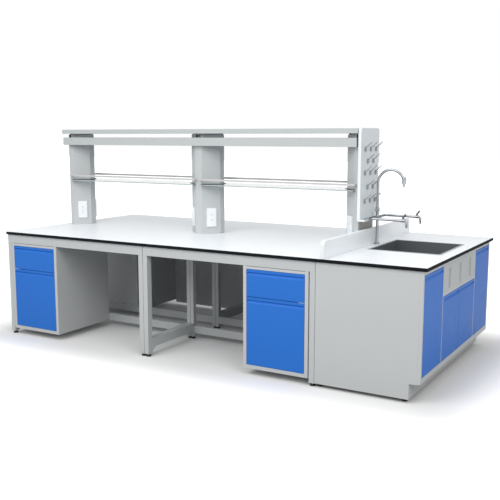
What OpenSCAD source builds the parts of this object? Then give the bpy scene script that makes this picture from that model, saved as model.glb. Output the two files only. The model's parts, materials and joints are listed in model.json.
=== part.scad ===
// Lab bench on steel frames with hanging pedestals, a reagent shelf and a sink end.
// Millimetres. X runs along the bench to the sink end, Y from the front row to the back row, Z up.
// The origin lies on the floor, below the middle of the worktop.

/* [Worktop] */
// Length of one bench bay
bay_l = 1393; // [1340:1:1480]
// Depth of the worktop over both rows
top_d = 1630; // [1610:5:1700]
// Height of the working surface
top_h = 850; // [846:1:900]
// Thickness of the worktop
top_t = 22; // [18:1:26]
// Thickness of the edge band
band_t = 2; // [1:0.5:3]
// Gap between two slabs
slab_gap = 1; // [0.5:0.5:2]

/* [Frames] */
// Distance of the front plane from the worktop's edge
front_in = 12; // [4:1:20]
// Distance of the first leg from the worktop's end
end_in = 5; // [2:1:20]
// Gap between two frames at a slab joint
seam = 3; // [0.5:0.5:4]
// Width of an outer leg
leg_w = 38; // [34:1:44]
// Depth of an outer leg
leg_d = 50; // [40:1:60]
// Wall of the steel tubes
tube_wall = 2.5; // [1.5:0.5:4]
// Thickness of the plug that closes a leg
plug_t = 8; // [5:1:12]
// Height of an outer leg's lower end
leg_lift = 22; // [20:1:28]
// Width of an inner leg
inner_w = 30; // [26:1:34]
// Depth of an inner leg
inner_d = 40; // [34:1:44]
// Height of an inner leg's lower end
inner_lift = 22; // [20:1:36]
// Clear width between the front row and the back row
service_gap = 330; // [300:5:360]
// Thickness of an apron rail
apron_t = 20; // [14:1:28]
// Height of an apron rail
apron_h = 68; // [50:1:68]
// Height of a side rail under the worktop
side_rail_h = 40; // [30:1:60]
// Height of a side stretcher
stretch_h = 68; // [50:1:90]
// Height of a side stretcher's underside
stretch_z = 62; // [62:1:90]
// Height of the gusset at the outer leg
gusset_h = 38; // [20:1:38]
// Length of the gusset at the outer leg
gusset_l = 75; // [45:1:90]
// Height of the gusset at the inner leg
gusset_in_h = 20; // [10:1:28]
// Length of the gusset at the inner leg
gusset_in_l = 36; // [30:1:50]
// Flat tip of a gusset
gusset_tip = 2; // [1:0.5:4]
// Height of an inner rail
rail_h = 60; // [50:1:70]
// Thickness of an inner rail
rail_t = 30; // [20:1:30]
// Height of the low rail's underside
rail_low_z = 47; // [47:1:70]

/* [Feet] */
// Diameter of a foot
foot_d = 37; // [30:1:38]
// Diameter of a foot below an inner leg
inner_foot_d = 30; // [24:1:30]
// Height of a foot's disc
foot_h = 14; // [10:1:16]
// Bevel round a foot's disc
foot_bevel = 2; // [0.5:0.5:4]
// Diameter of a foot's stud
stud_d = 10; // [8:1:14]
// Radial room round a stud
stud_room = 0.1; // [0.05:0.05:0.3]
// Length of a stud above the plug
stud_over = 12; // [6:1:20]
// Diameter of a post under the sink unit
post_d = 16; // [12:1:20]
// Gap between a post and the board beside it
post_gap = 1; // [0.5:0.5:4]
// Gap between a post's foot and the toe board
foot_gap = 2; // [1:0.5:6]
// Gap between a post's foot and the side board
foot_side = 12.5; // [2:0.5:40]

/* [Pedestals] */
// Width of a pedestal
ped_w = 490; // [440:1:520]
// Height of a pedestal's underside
ped_z = 50; // [48:1:90]
// Gap between a pedestal's top and the apron rail
ped_hang = 3; // [2:0.5:8]
// Gap between the left pedestal and its leg
ped_leg_gap = 2; // [1:0.5:10]
// Gap between the right pedestal and its leg
ped_end_gap = 8.5; // [1:0.5:20]
// Gap between a pedestal's back and the inner rail
ped_rail_gap = 2; // [1:0.5:20]
// Thickness of a pedestal's sides and bottom
ped_wall = 25; // [18:1:26]
// Thickness of a pedestal's top
ped_top_t = 18; // [12:1:25]
// Thickness of a pedestal's back
ped_back_t = 8; // [4:1:12]
// Thickness of the divider between drawer and door
divider_t = 15; // [10:1:18]
// Height of a drawer front
drawer_h = 186; // [180:1:220]
// Gap between a drawer front and the door below
split_gap = 4; // [3:0.5:6]
// Gap between a closed drawer box and the pedestal's back
box_rear = 78; // [40:1:160]
// Height of a drawer box
box_h = 130; // [90:1:136]
// Height of a drawer box above the lower edge of its front
box_up = 24; // [18:1:30]
// Wall of a drawer box
box_wall = 12; // [8:1:16]
// Floor of a drawer box
box_floor = 6; // [4:1:10]
// Room for a runner at each side of a drawer box
runner_t = 13; // [12:0.5:16]
// Height of a runner
runner_h = 40; // [30:1:50]
// Distance of a rib's end from the back of its drawer box
rib_rear = 15; // [5:1:40]
// Distance of a runner from the back of the drawer front
runner_in = 5; // [2:1:20]
// Height of the rib that rides in a runner
rib_h = 12; // [8:1:16]
// Depth of the groove in a runner
groove_in = 9; // [6:0.5:9]
// Play between a drawer box and its runners
run_play = 0.3; // [0.2:0.1:0.5]
// Width of a hanger bar
hanger_w = 20; // [15:1:24]
// Distance of a hanger bar from the front plane
hanger_in = 2; // [1:0.5:10]

/* [Fronts] */
// Thickness of the drawer fronts and doors
front_t = 20; // [18:1:24]
// Gap round a front
front_gap = 2; // [2:0.5:3]
// Gap behind a closed front
back_gap = 1; // [0.5:0.5:2]
// Height of the lip above a finger pull
lip_h = 18; // [18:1:30]
// Height of a finger pull
pull_h = 24; // [18:1:30]
// Depth of a finger pull
pull_in = 10; // [6:0.5:11]
// Solid end beside a finger pull
pull_end = 4; // [3:0.5:20]
// Distance of a pivot from a door's edge and face
pivot_in = 3.5; // [3:0.1:4]
// Diameter of a pivot pin
pin_d = 3.5; // [3:0.1:4]
// Radial room round a pivot pin
pin_room = 0.05; // [0.03:0.01:0.1]
// Length of a pivot pin inside a door
pin_in = 14; // [10:1:15]
// Depth left below a pivot pin
pin_end = 2; // [1:0.5:3]
// Thickness of a pivot plate
plate_t = 2; // [1:0.5:2.5]
// Length of a pivot plate
plate_l = 45; // [20:1:60]
// Diameter of a pivot flange
flange_d = 6.4; // [5:0.2:7]
// Thickness of a pivot flange
flange_t = 1.2; // [0.6:0.1:1.5]

/* [Sink unit] */
// Distance of the sink unit from the last bench frame
unit_gap = 2.5; // [0.5:0.5:6]
// Distance of the sink unit's doors from the worktop's end
unit_in = 24; // [10:1:40]
// Height of the sink unit's lower edge
unit_z = 25; // [20:1:40]
// Thickness of the sink unit's sides
side_t = 18; // [14:1:18]
// Thickness of the sink unit's back
unit_back_t = 12; // [6:1:16]
// Height of the toe recess
toe_h = 126; // [110:1:130]
// Depth of the toe recess
toe_in = 72; // [50:1:90]
// Thickness of the toe board
toe_t = 18; // [14:1:22]
// Thickness of the sink unit's floor
floor_t = 18; // [14:1:22]
// Thickness of a partition
part_t = 12; // [8:1:12]
// Gap between two boards of the sink unit
board_gap = 0.3; // [0.2:0.1:0.5]
// Gap between the toe recess and the face frame
toe_gap = 4; // [1:1:8]
// Width of an outer stile
stile_w = 20; // [18:1:26]
// Width of an inner stile
mullion_w = 8; // [8:1:12]
// Half the width of the opening between the inner stiles
mid_half = 385; // [370:1:400]
// Height of the face frame's lower rail
low_rail_h = 36; // [30:1:50]
// Height of the face frame's upper rail
high_rail_h = 28; // [20:1:40]
// Height of the rail below the louvre panel
cross_h = 10; // [8:1:16]
// Height of the louvre panel
louvre_h = 188; // [160:1:210]
// Gap between the two middle doors
pair_gap = 3; // [2:0.5:5]
// Length of a louvre slot
slot_l = 50; // [30:1:80]
// Height of a louvre slot
slot_h = 6; // [4:0.5:8]
// Distance from slot to slot
slot_pitch = 17; // [12:1:20]
// Slots in one column
slot_n = 8; // [4:1:8]
// Distance between slot columns
slot_span = 250; // [180:5:260]

/* [Sink] */
// Length of the sink's rim along the bench
sink_w = 516; // [480:1:520]
// Width of the sink's rim across the bench
sink_d = 580; // [520:1:600]
// Gap between the tap's base and the sink's rim
sink_gap = 19; // [15:1:40]
// Distance of the sink's rim from the worktop's end
sink_rest = 84; // [80:1:120]
// Offset of sink and tap from the bench's middle
sink_off = 20; // [15:1:30]
// Width of the rim
rim_w = 14; // [12:1:20]
// Thickness of the rim
rim_t = 3; // [2:0.5:5]
// Wall of the bowl
bowl_wall = 8; // [5:1:10]
// Depth of the bowl
bowl_in = 300; // [200:5:320]
// Width of the bonded joints between the bowl's plates
bond_gap = 0.3; // [0.2:0.1:0.5]
// Gap between the bowl and the worktop
bowl_gap = 1; // [0.5:0.5:3]
// Diameter of the drain's tail
tail_d = 50; // [40:1:60]
// Length of the drain's tail below the bowl
tail_l = 70; // [40:1:120]
// Wall of the drain's tail
tail_wall = 3; // [2:0.5:5]
// Width of the drain's flange round its tail
drain_lip = 18; // [10:1:30]
// Thickness of the drain's flange
drain_t = 3; // [2:0.5:6]
// Radial room round the drain's neck
drain_room = 0.3; // [0.1:0.1:1]
// Step from the drain's neck to its tail
drain_step = 1; // [0.5:0.5:3]

/* [Reagent shelf] */
// Distance of the shelf's end cover from the worktop's end
shelf_in = 78; // [60:1:100]
// Distance of the other end cover beyond the last slab joint
shelf_past = 14; // [10:1:20]
// Width of a column
col_w = 272; // [260:1:290]
// Depth of a column
col_d = 270; // [262:1:290]
// Width of a column's nose
nose_w = 60; // [50:1:80]
// Height of a column
col_h = 782; // [776:1:830]
// Wall of a column
col_wall = 3; // [2:0.5:4]
// Thickness of an end cover
cover_t = 3; // [2:0.5:4]
// Height of the spacer on a column
cap_h = 8; // [4:1:12]
// Distance of the spacer from the column's outline
cap_in = 6; // [4:1:12]
// Width of the notch at the top of a nose
notch_w = 50; // [30:1:50]
// Height of the notch at the top of a nose
notch_h = 20; // [10:1:22]
// Thickness of a shelf beam
beam_t = 35; // [28:1:38]
// Height of a shelf beam
beam_h = 63; // [45:1:70]
// Distance of a shelf beam below the column's top
beam_drop = 24; // [22:1:30]
// Length of a shelf beam beyond the left end cover
beam_over = 32; // [10:1:40]
// Distance of a shelf beam from the right end cover
beam_short = 13; // [5:1:20]
// Radius of a shelf beam's lower left corner
beam_r = 13; // [8:1:30]
// Width of the top shelf
tray_w = 360; // [350:1:400]
// Height of the top shelf's edge
tray_h = 35; // [25:1:36]
// Sheet thickness of the top shelf
tray_t = 2; // [1:0.5:3]
// Length of the top shelf beyond the left end cover
tray_over = 34; // [10:1:50]
// Distance of the top shelf from the right end cover
tray_short = 3; // [1:1:10]
// Height of the glass above the worktop
glass_up = 386; // [340:1:420]
// Thickness of the glass
glass_t = 8; // [6:1:10]
// Width of the glass
glass_w = 340; // [330:1:360]
// Play between glass and clip
glass_play = 0.3; // [0.2:0.1:0.5]
// Height of a glass clip
clip_h = 14; // [12:1:24]
// Distance that a clip stands out of its column
clip_out = 14; // [10:1:20]
// Web of a clip
clip_web = 3; // [2:0.5:4]
// Height of a guard rail above the glass
guard_up = 30; // [28:1:60]
// Height of a guard rail
guard_h = 15; // [10:1:30]
// Thickness of a guard rail
guard_t = 4; // [3:0.5:6]
// Distance of a guard rail from the glass edge
guard_in = 3; // [1:0.5:8]
// Width of a guard rail's holder
holder_w = 12; // [8:1:16]
// Height of a guard rail's holder
holder_h = 11; // [8:1:25]

/* [Outlets] */
// Width of an outlet plate
out_w = 77; // [70:1:90]
// Height of an outlet plate
out_h = 147; // [115:1:160]
// Thickness of an outlet plate
out_t = 10; // [6:1:14]
// Height of an outlet plate above the worktop
out_up = 58; // [40:1:100]
// Distance between the two sockets of a plate
socket_pitch = 39; // [36:1:45]
// Diameter of a socket's face
socket_d = 34; // [30:1:35]
// Height of a socket's face above its plate
socket_up = 1; // [0.5:0.5:2]
// Width of a socket's slot
blade_w = 2.4; // [2:0.1:3]
// Height of a socket's slot
blade_h = 8; // [7:0.5:9]
// Half the distance between a socket's slots
blade_half = 6.3; // [6:0.1:7]
// Height of the slots above the socket's middle
blade_up = 3; // [2:0.5:4]
// Diameter of the round hole in a socket
earth_d = 5; // [4:0.5:6]
// Distance of the round hole below the socket's middle
earth_down = 8; // [7:0.5:10]
// Depth of the slots
blade_in = 7; // [4:1:8]

/* [Pegboard] */
// Thickness of the pegboard
board_t = 22; // [15:1:24]
// Width of the pegboard
board_w = 340; // [300:1:360]
// Height of the pegboard's lower edge above the worktop
board_up = 192; // [150:1:200]
// Height of the pegboard
board_h = 635; // [600:1:680]
// Corner radius of the pegboard
board_r = 20; // [5:1:40]
// Distance that the drip trough stands out of the board
trough_out = 36; // [20:1:38]
// Height of the drip trough
trough_h = 15; // [10:1:30]
// Sheet thickness of the drip trough
trough_t = 2; // [1:0.5:3]
// Distance between the pegs of a row
peg_pitch = 100; // [90:1:120]
// Width of a peg's block
peg_block_w = 16; // [12:1:20]
// Height of a peg's block
peg_block_h = 32; // [26:1:40]
// Thickness of a peg's block
peg_block_t = 12; // [10:1:16]
// Diameter of a peg
peg_d = 6; // [5:0.5:7]
// Distance that a peg runs out of its block
peg_run = 46; // [30:1:50]
// Slope of a peg
peg_tilt = 42; // [30:1:50]
// Distance of a peg below the top of its block
peg_down = 8; // [6:1:12]
// Height of the first row of pegs above the worktop
peg_row_1 = 316; // [300:1:330]
// Height of the second row of pegs
peg_row_2 = 414; // [400:1:430]
// Height of the third row of pegs
peg_row_3 = 514; // [500:1:530]
// Height of the fourth row of pegs
peg_row_4 = 597; // [585:1:610]
// Height of the fifth row of pegs
peg_row_5 = 680; // [665:1:695]

/* [Upstand] */
// Distance of the upstand from the shelf's end cover
up_gap = 26; // [23:1:28]
// Thickness of the upstand
up_t = 25; // [18:1:26]
// Height of the upstand
up_h = 117; // [80:1:130]
// Radius of the upstand's upper corners
up_r = 30; // [10:1:50]

/* [Tap] */
// Gap between the upstand and the tap's base
tap_gap = 8; // [2:0.5:12]
// Diameter of the tap's riser
riser_d = 20; // [18:0.5:20]
// Diameter of the tap's base
base_d = 42; // [34:1:42]
// Height of the tap's base
base_h = 7; // [5:1:12]
// Diameter of the shank through the worktop
shank_d = 20; // [16:1:24]
// Length of the shank below the worktop
shank_l = 50; // [30:1:80]
// Radial room round the shank
shank_room = 1; // [0.5:0.5:3]
// Height of the side arms above the worktop
arm_up = 197; // [190:1:210]
// Distance of a side arm from the riser
arm_half = 148; // [100:1:160]
// Reach of a side arm
arm_l = 268; // [200:1:280]
// Diameter of the pipe that carries the arms
pipe_d = 18; // [16:1:19]
// Diameter of a side arm
arm_d = 18; // [12:1:19]
// Bend radius where a side arm leaves its pipe
arm_r = 25; // [18:1:40]
// Bend radius at the end of a side arm
drop_r = 14; // [11:1:20]
// Diameter of the tee on the riser
tee_d = 24; // [21:1:30]
// Half the length of the tee
tee_half = 22; // [16:1:30]
// Distance of a valve from the riser along the arm
valve_l = 243; // [120:1:250]
// Diameter of a valve
valve_d = 24; // [20:1:28]
// Length of a valve
valve_len = 22; // [16:1:40]
// Diameter of a valve's neck
neck_d = 14; // [12:1:16]
// Height of a valve's neck above the arm
neck_h = 14; // [14:1:24]
// Length of a serrated nozzle
nozzle_l = 36; // [24:1:40]
// Rings of a serrated nozzle
nozzle_n = 3; // [2:1:5]
// Largest diameter of a nozzle ring
nozzle_d = 20; // [16:1:22]
// Taper of a nozzle ring
nozzle_taper = 4; // [2:0.5:6]
// Difference in diameter from one nozzle ring to the next
nozzle_step = 3; // [1:0.5:3]
// Height of the collar's top above the worktop
collar_up = 265; // [255:1:290]
// Height of the collar
collar_h = 30; // [26:1:40]
// Diameter of the collar
collar_d = 30; // [26:1:34]
// Diameter of the spigots that turn in the tap
spigot_d = 8; // [6:0.5:9]
// Length of the spigots that turn in the tap
spigot_l = 12; // [8:1:12]
// Radial room round a spigot
spigot_room = 0.05; // [0.03:0.01:0.1]
// Gap under a piece that turns
turn_gap = 0.3; // [0.2:0.1:0.5]
// Diameter of the gooseneck
neck_tube_d = 19; // [16:0.5:20]
// Bore of the gooseneck
neck_bore_d = 13; // [10:0.5:14]
// Solid foot of the gooseneck
neck_foot = 20; // [10:1:30]
// Height where the gooseneck starts to bend above the worktop
bend_up = 440; // [400:1:480]
// Bend radius of the gooseneck
bend_r = 95.5; // [80:0.5:110]
// Diameter of the gooseneck's outlet collar
outlet_d = 27; // [24:1:32]
// Height of the outlet collar
outlet_h = 50; // [12:1:60]
// Height of the bend that the outlet collar wraps
outlet_over = 47; // [8:1:50]
// Length of the outlet's tip below its collar
tip_l = 20; // [14:1:30]
// Diameter of the outlet's tip
tip_d = 16; // [14.5:0.5:20]
// Diameter of the screw head on the gooseneck
screw_d = 6; // [4:0.5:8]
// Distance that the screw head stands out
screw_out = 2.5; // [1:0.5:4]
// Height of the screw head above the worktop
screw_up = 370; // [330:1:400]
// Diameter of a lever's hub
hub_d = 17; // [12:1:18]
// Height of a lever's hub
hub_h = 10; // [7:1:12]
// Diameter of a lever
lever_d = 15; // [8:0.5:18]
// Length of a lever
lever_l = 26; // [20:1:50]
// Slope of a lever
lever_tilt = 52; // [30:1:60]
// Length of the boss that carries the knob
boss_l = 10; // [6:1:16]
// Diameter of the boss that carries the knob
boss_d = 16; // [12:1:20]
// Diameter of the knob
knob_d = 20; // [16:1:24]
// Length of the knob
knob_l = 14; // [10:1:20]

/* [Hidden] */
$fn = 64;
// Length by which a cut runs past a face
cut = 1;
// Sides of the knob
knob_sides = 12;
// Rows of pegs: height of a block's middle above the worktop, and pegs in the row
peg_rows = [[peg_row_1, 3], [peg_row_2, 2], [peg_row_3, 3], [peg_row_4, 2], [peg_row_5, 3]];
// The diagonal facets of a column stand at this angle
facet_a = 45;

shelf_end = 2 * bay_l + shelf_past;
shelf_l = shelf_end - shelf_in;
tap_x = shelf_end + up_gap + up_t + tap_gap + base_d / 2;
sink_x = tap_x + base_d / 2 + sink_gap + sink_w / 2;
top_l = sink_x + sink_w / 2 + sink_rest;
sink_l = top_l - 2 * bay_l;
under = top_h - top_t;
front_y = top_d / 2 - front_in;
frame_x = [
    end_in,
    bay_l - seam / 2 - leg_w,
    bay_l + seam / 2,
    2 * bay_l - seam / 2 - leg_w
];
slim = leg_w - inner_w;
slim_x = [
    frame_x[0],
    frame_x[1] + slim,
    frame_x[2],
    frame_x[3] + slim
];
inner_v = front_y - service_gap / 2 - inner_d;
apron_z = under - apron_h;
rail_v = inner_v + inner_d - rail_t;

ped_d = rail_v - ped_rail_gap;
ped_top = apron_z - ped_hang;
ped_x = [frame_x[0] + leg_w + ped_leg_gap, frame_x[3] - ped_end_gap - ped_w];
hole_w = ped_w - 2 * ped_wall;
hole_z = ped_z + ped_wall;
hole_top = ped_top - ped_top_t;
face_w = hole_w - 2 * front_gap;
drawer_z = hole_top - front_gap - drawer_h;
door_z = hole_z + front_gap;
door_top = drawer_z - split_gap;
split_z = door_top + split_gap / 2;
inside_v = front_t + back_gap;
box_w = hole_w - 2 * runner_t;
box_l = ped_d - ped_back_t - box_rear - front_t;
runner_l = box_l - runner_in - rib_rear;
box_z = drawer_z + box_up;
rib_z = box_z + box_h / 2;
pull_r = (pow(pull_h / 2, 2) + pow(pull_in, 2)) / (2 * pull_in);
pull_c = pull_r - pull_in;

unit_x = 2 * bay_l - seam / 2 + unit_gap;
unit_face = top_l - unit_in;
shell_face = unit_face - front_t - back_gap;
face_z = toe_h + toe_gap;
open_z = face_z + low_rail_h;
open_top = under - high_rail_h;
louvre_z = open_top - louvre_h;
short_top = louvre_z - cross_h;
side_half = front_y - stile_w;
toe_x = unit_face - toe_in;
side_y = front_y - side_t - foot_side - foot_d / 2;
tall_w = side_half - mid_half - mullion_w - 2 * front_gap;
short_w = mid_half - front_gap - pair_gap / 2;

bowl_w = sink_w - 2 * rim_w;
bowl_d = sink_d - 2 * rim_w;
bowl_z = top_h - bowl_in - bowl_wall;
drain_neck_d = tail_d - 2 * drain_step;

col_x = [
    shelf_in + cover_t,
    shelf_in + shelf_l / 2,
    shelf_end - cover_t
];
col_top = top_h + col_h;
glass_z = top_h + glass_up;
clip_z = glass_z + glass_t / 2 - clip_h / 2;
tray_z = col_top + cap_h;
board_z = top_h + board_up;
arm_z = top_h + arm_up;
collar_top = top_h + collar_up;
knob_z = collar_top - collar_h / 2;
bend_z = top_h + bend_up;
outlet_z = bend_z + outlet_over - outlet_h;

// Places its children along the bench, X from the worktop's left end and Y from the middle
module bench() {
    translate([-top_l / 2, 0, 0]) children();
}

// Places its children in the front row, Y from the front plane inwards
module front_row() {
    translate([-top_l / 2, -front_y, 0]) children();
}

// The back row is the front row mirrored
module back_row() {
    mirror([0, 1, 0]) front_row() children();
}

module both_rows() {
    front_row() children();
    back_row() children();
}

// Draws its children and their mirror image across the bench's middle
module two_sides() {
    children();
    mirror([0, 1, 0]) children();
}

// Turns an outline drawn in Y and Z into a body along X
module along_x(length) {
    rotate([90, 0, 90]) linear_extrude(length) children();
}

// Block with the middle of its base at the origin
module block(w, d, h) {
    translate([-w / 2, -d / 2, 0]) cube([w, d, h]);
}

// Board outline with two rounded upper corners, standing on the X axis
module arched_outline(w, h, r) {
    translate([-w / 2, 0]) square([w, h - r]);
    translate([-w / 2 + r, 0]) square([w - 2 * r, h]);
    for (sx = [-1, 1]) translate([sx * (w / 2 - r), h - r]) circle(r);
}

// Worktop

module slab(x0, x1) {
    translate([x0, -top_d / 2 + band_t, under]) {
        cube([x1 - x0, top_d - 2 * band_t, top_t]);
    }
}

module worktop_left() {
    color("white") bench() slab(band_t, bay_l - slab_gap / 2);
}

module worktop_middle() {
    color("white") bench() {
        slab(bay_l + slab_gap / 2, 2 * bay_l - slab_gap / 2);
    }
}

module worktop_sink() {
    color("white") bench() difference() {
        slab(2 * bay_l + slab_gap / 2, top_l - band_t);
        translate([sink_x, sink_off, under - cut]) {
            block(
                bowl_w + 2 * (bowl_wall + bowl_gap),
                bowl_d + 2 * (bowl_wall + bowl_gap),
                top_t + 2 * cut);
        }
        translate([tap_x, sink_off, under - cut]) {
            cylinder(d = shank_d + 2 * shank_room, h = top_t + 2 * cut);
        }
    }
}

module edge_bands() {
    color("dimgray") bench() {
        difference() {
            translate([0, -top_d / 2, under]) {
                cube([bay_l - slab_gap / 2, top_d, top_t]);
            }
            translate([band_t, -top_d / 2 + band_t, under - cut]) {
                cube([bay_l, top_d - 2 * band_t, top_t + 2 * cut]);
            }
        }
        two_sides() translate([bay_l + slab_gap / 2, -top_d / 2, under]) {
            cube([bay_l - slab_gap, band_t, top_t]);
        }
        difference() {
            translate([2 * bay_l + slab_gap / 2, -top_d / 2, under]) {
                cube([sink_l - slab_gap / 2, top_d, top_t]);
            }
            translate([2 * bay_l - cut, -top_d / 2 + band_t, under - cut]) {
                cube([sink_l - band_t + cut, top_d - 2 * band_t, top_t + 2 * cut]);
            }
        }
    }
}

// Steel frames

// A tube that stands on a plug with a bore for the foot's stud
module leg(w, d, z) {
    difference() {
        translate([0, 0, z]) cube([w, d, under - z]);
        translate([tube_wall, tube_wall, z + plug_t]) {
            cube([w - 2 * tube_wall, d - 2 * tube_wall, under]);
        }
        translate([w / 2, d / 2, z - cut]) {
            cylinder(d = stud_d + 2 * stud_room, h = plug_t + 2 * cut);
        }
    }
}

module outer_legs() {
    color("gainsboro") both_rows() for (x = frame_x) {
        translate([x, 0, 0]) difference() {
            leg(leg_w, leg_d, leg_lift);
            translate([-cut, -cut, apron_z]) {
                cube([leg_w + 2 * cut, apron_t + cut, apron_h + cut]);
            }
        }
    }
}

module inner_legs() {
    color("gainsboro") both_rows() for (x = slim_x) {
        translate([x, inner_v, 0]) leg(inner_w, inner_d, inner_lift);
    }
}

module side_rails() {
    color("gainsboro") both_rows() for (x = slim_x) {
        translate([x, leg_d, under - side_rail_h]) difference() {
            cube([inner_w, inner_v - leg_d, side_rail_h]);
            translate([tube_wall, -cut, tube_wall]) {
                cube([
                    inner_w - 2 * tube_wall,
                    inner_v - leg_d + 2 * cut,
                    side_rail_h - 2 * tube_wall
                ]);
            }
        }
    }
}

// Fillet outline below a stretcher, flaring down a leg at Y = 0 on one arc
module gusset(h, l) {
    r = (pow(l - gusset_tip, 2) + pow(h, 2)) / (2 * h);
    difference() {
        translate([0, -h]) square([l, h + cut]);
        translate([l, -r]) circle(r);
    }
}

module side_stretchers() {
    span = inner_v - leg_d;
    color("gainsboro") both_rows() for (x = slim_x) {
        translate([x, leg_d, stretch_z]) difference() {
            along_x(inner_w) {
                square([span, stretch_h]);
                gusset(gusset_h, gusset_l);
                translate([span, 0]) mirror([1, 0]) gusset(gusset_in_h, gusset_in_l);
            }
            translate([tube_wall, -cut, tube_wall]) {
                cube([
                    inner_w - 2 * tube_wall,
                    span + 2 * cut,
                    stretch_h - 2 * tube_wall
                ]);
            }
        }
    }
}

module apron_rails() {
    color("gainsboro") both_rows() for (i = [0, 2]) {
        length = frame_x[i + 1] + leg_w - frame_x[i];
        translate([frame_x[i], 0, apron_z]) difference() {
            cube([length, apron_t, apron_h]);
            translate([-cut, tube_wall, tube_wall]) {
                cube([length + 2 * cut, apron_t, apron_h - 2 * tube_wall]);
            }
        }
    }
}

module inner_rails() {
    color("gainsboro") both_rows() for (i = [0, 2], z = [rail_low_z, under - rail_h]) {
        x = slim_x[i] + inner_w;
        length = slim_x[i + 1] - x;
        translate([x, rail_v, z]) difference() {
            cube([length, rail_t, rail_h]);
            translate([-cut, tube_wall, tube_wall]) {
                cube([
                    length + 2 * cut,
                    rail_t - 2 * tube_wall,
                    rail_h - 2 * tube_wall
                ]);
            }
        }
    }
}

// Foot with a disc of one diameter and a stud or post of another
module foot(disc_d, d, top) {
    r = disc_d / 2;
    rotate_extrude() polygon([
        [0, 0], [r - foot_bevel, 0], [r, foot_bevel],
        [r, foot_h - foot_bevel], [r - foot_bevel, foot_h],
        [d / 2, foot_h], [d / 2, top], [0, top]
    ]);
}

module levelling_feet() {
    color("dimgray") {
        both_rows() {
            for (x = frame_x) translate([x + leg_w / 2, leg_d / 2, 0]) {
                foot(foot_d, stud_d, leg_lift + plug_t + stud_over);
            }
            for (x = slim_x) {
                translate([x + inner_w / 2, inner_v + inner_d / 2, 0]) {
                    foot(inner_foot_d, stud_d, inner_lift + plug_t + stud_over);
                }
            }
        }
        bench() for (x = foot_x(), y = foot_y()) {
            translate([x, y, 0]) foot(foot_d, post_d, toe_h);
        }
    }
}

function foot_x() = [
    unit_x + unit_back_t + post_gap + post_d / 2,
    toe_x - toe_t - foot_d / 2 - foot_gap
];
function foot_y() = [-side_y, 0, side_y];

module hanger_bars() {
    bar_l = rail_v + rail_t - hanger_in;
    color("silver") both_rows() for (x = ped_x, side = [0, 1]) {
        edge = (ped_wall - hanger_w) / 2;
        bar_x = side == 0 ? x + edge : x + ped_w - edge - hanger_w;
        translate([bar_x, hanger_in, ped_top]) cube([hanger_w, bar_l, ped_hang]);
        translate([bar_x, rail_v, ped_top]) {
            cube([hanger_w, rail_t, under - rail_h - ped_top]);
        }
    }
}

// Pedestals, drawn from their own left front edge

module casing() {
    difference() {
        translate([0, 0, ped_z]) cube([ped_w, ped_d, ped_top - ped_z]);
        translate([ped_wall, -cut, hole_z]) {
            cube([hole_w, ped_d - ped_back_t + cut, split_z - divider_t / 2 - hole_z]);
        }
        translate([ped_wall, -cut, split_z + divider_t / 2]) {
            cube([hole_w, ped_d - ped_back_t + cut, hole_top - split_z - divider_t / 2]);
        }
        translate([ped_wall, -cut, hole_z]) {
            cube([hole_w, inside_v + cut, hole_top - hole_z]);
        }
    }
}

// A front from z0 to z1 with its finger pull; its own left edge lies at X = 0
module front_panel(w, z0, z1) {
    difference() {
        translate([0, 0, z0]) cube([w, front_t, z1 - z0]);
        translate([pull_end, -pull_c, z1 - lip_h - pull_h / 2]) {
            rotate([0, 90, 0]) cylinder(r = pull_r, h = w - 2 * pull_end);
        }
    }
}

// A door is a front with a bore at each end of its hinge edge; hinge is 0 left or 1 right
module door_panel(w, z0, z1, hinge) {
    bore_x = hinge == 0 ? pivot_in : w - pivot_in;
    bore_l = pin_in + pin_end;
    difference() {
        front_panel(w, z0, z1);
        for (z = [z0 - cut, z1 - bore_l]) translate([bore_x, pivot_in, z]) {
            cylinder(d = pin_d + 2 * pin_room, h = bore_l + cut);
        }
    }
}

module drawer_front() {
    translate([ped_wall + front_gap, 0, 0]) {
        front_panel(face_w, drawer_z, drawer_z + drawer_h);
    }
}

module drawer_box() {
    translate([ped_wall + runner_t, front_t, box_z]) difference() {
        cube([box_w, box_l, box_h]);
        translate([box_wall, box_wall, box_floor]) {
            cube([box_w - 2 * box_wall, box_l - 2 * box_wall, box_h]);
        }
    }
    for (side = [0, 1]) {
        x = side == 0 ? ped_wall + runner_t - groove_in : ped_wall + runner_t + box_w - cut;
        translate([x, front_t + runner_in, rib_z - rib_h / 2]) {
            cube([groove_in + cut, runner_l, rib_h]);
        }
    }
}

module runner() {
    difference() {
        cube([runner_t - run_play, runner_l, runner_h]);
        translate([runner_t - run_play - groove_in, -cut, runner_h / 2 - rib_h / 2 - run_play]) {
            cube([groove_in + cut, runner_l + 2 * cut, rib_h + 2 * run_play]);
        }
    }
}

module drawer_runners() {
    color("silver") both_rows() for (x = ped_x) {
        translate([x + ped_wall, inside_v + runner_in, rib_z - runner_h / 2]) runner();
        translate([x + ped_w - ped_wall, inside_v + runner_in, rib_z - runner_h / 2]) {
            mirror([1, 0, 0]) runner();
        }
    }
}

module ped_door(hinge) {
    translate([ped_wall + front_gap, 0, 0]) door_panel(face_w, door_z, door_top, hinge);
}

// Pins and plates of one pedestal door
module ped_pivots(hinge) {
    x = hinge == 0 ? ped_wall + front_gap + pivot_in : ped_w - ped_wall - front_gap - pivot_in;
    plate_x = hinge == 0 ? ped_wall : ped_w - ped_wall - plate_l;
    translate([x, pivot_in, hole_z]) {
        cylinder(d = flange_d, h = flange_t);
        cylinder(d = pin_d, h = front_gap + pin_in);
    }
    translate([plate_x, back_gap, split_z - plate_t / 2]) {
        cube([plate_l, inside_v - back_gap, plate_t]);
    }
    translate([x, pivot_in, door_top - pin_in]) {
        cylinder(d = pin_d, h = split_z - door_top + pin_in);
    }
}

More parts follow.
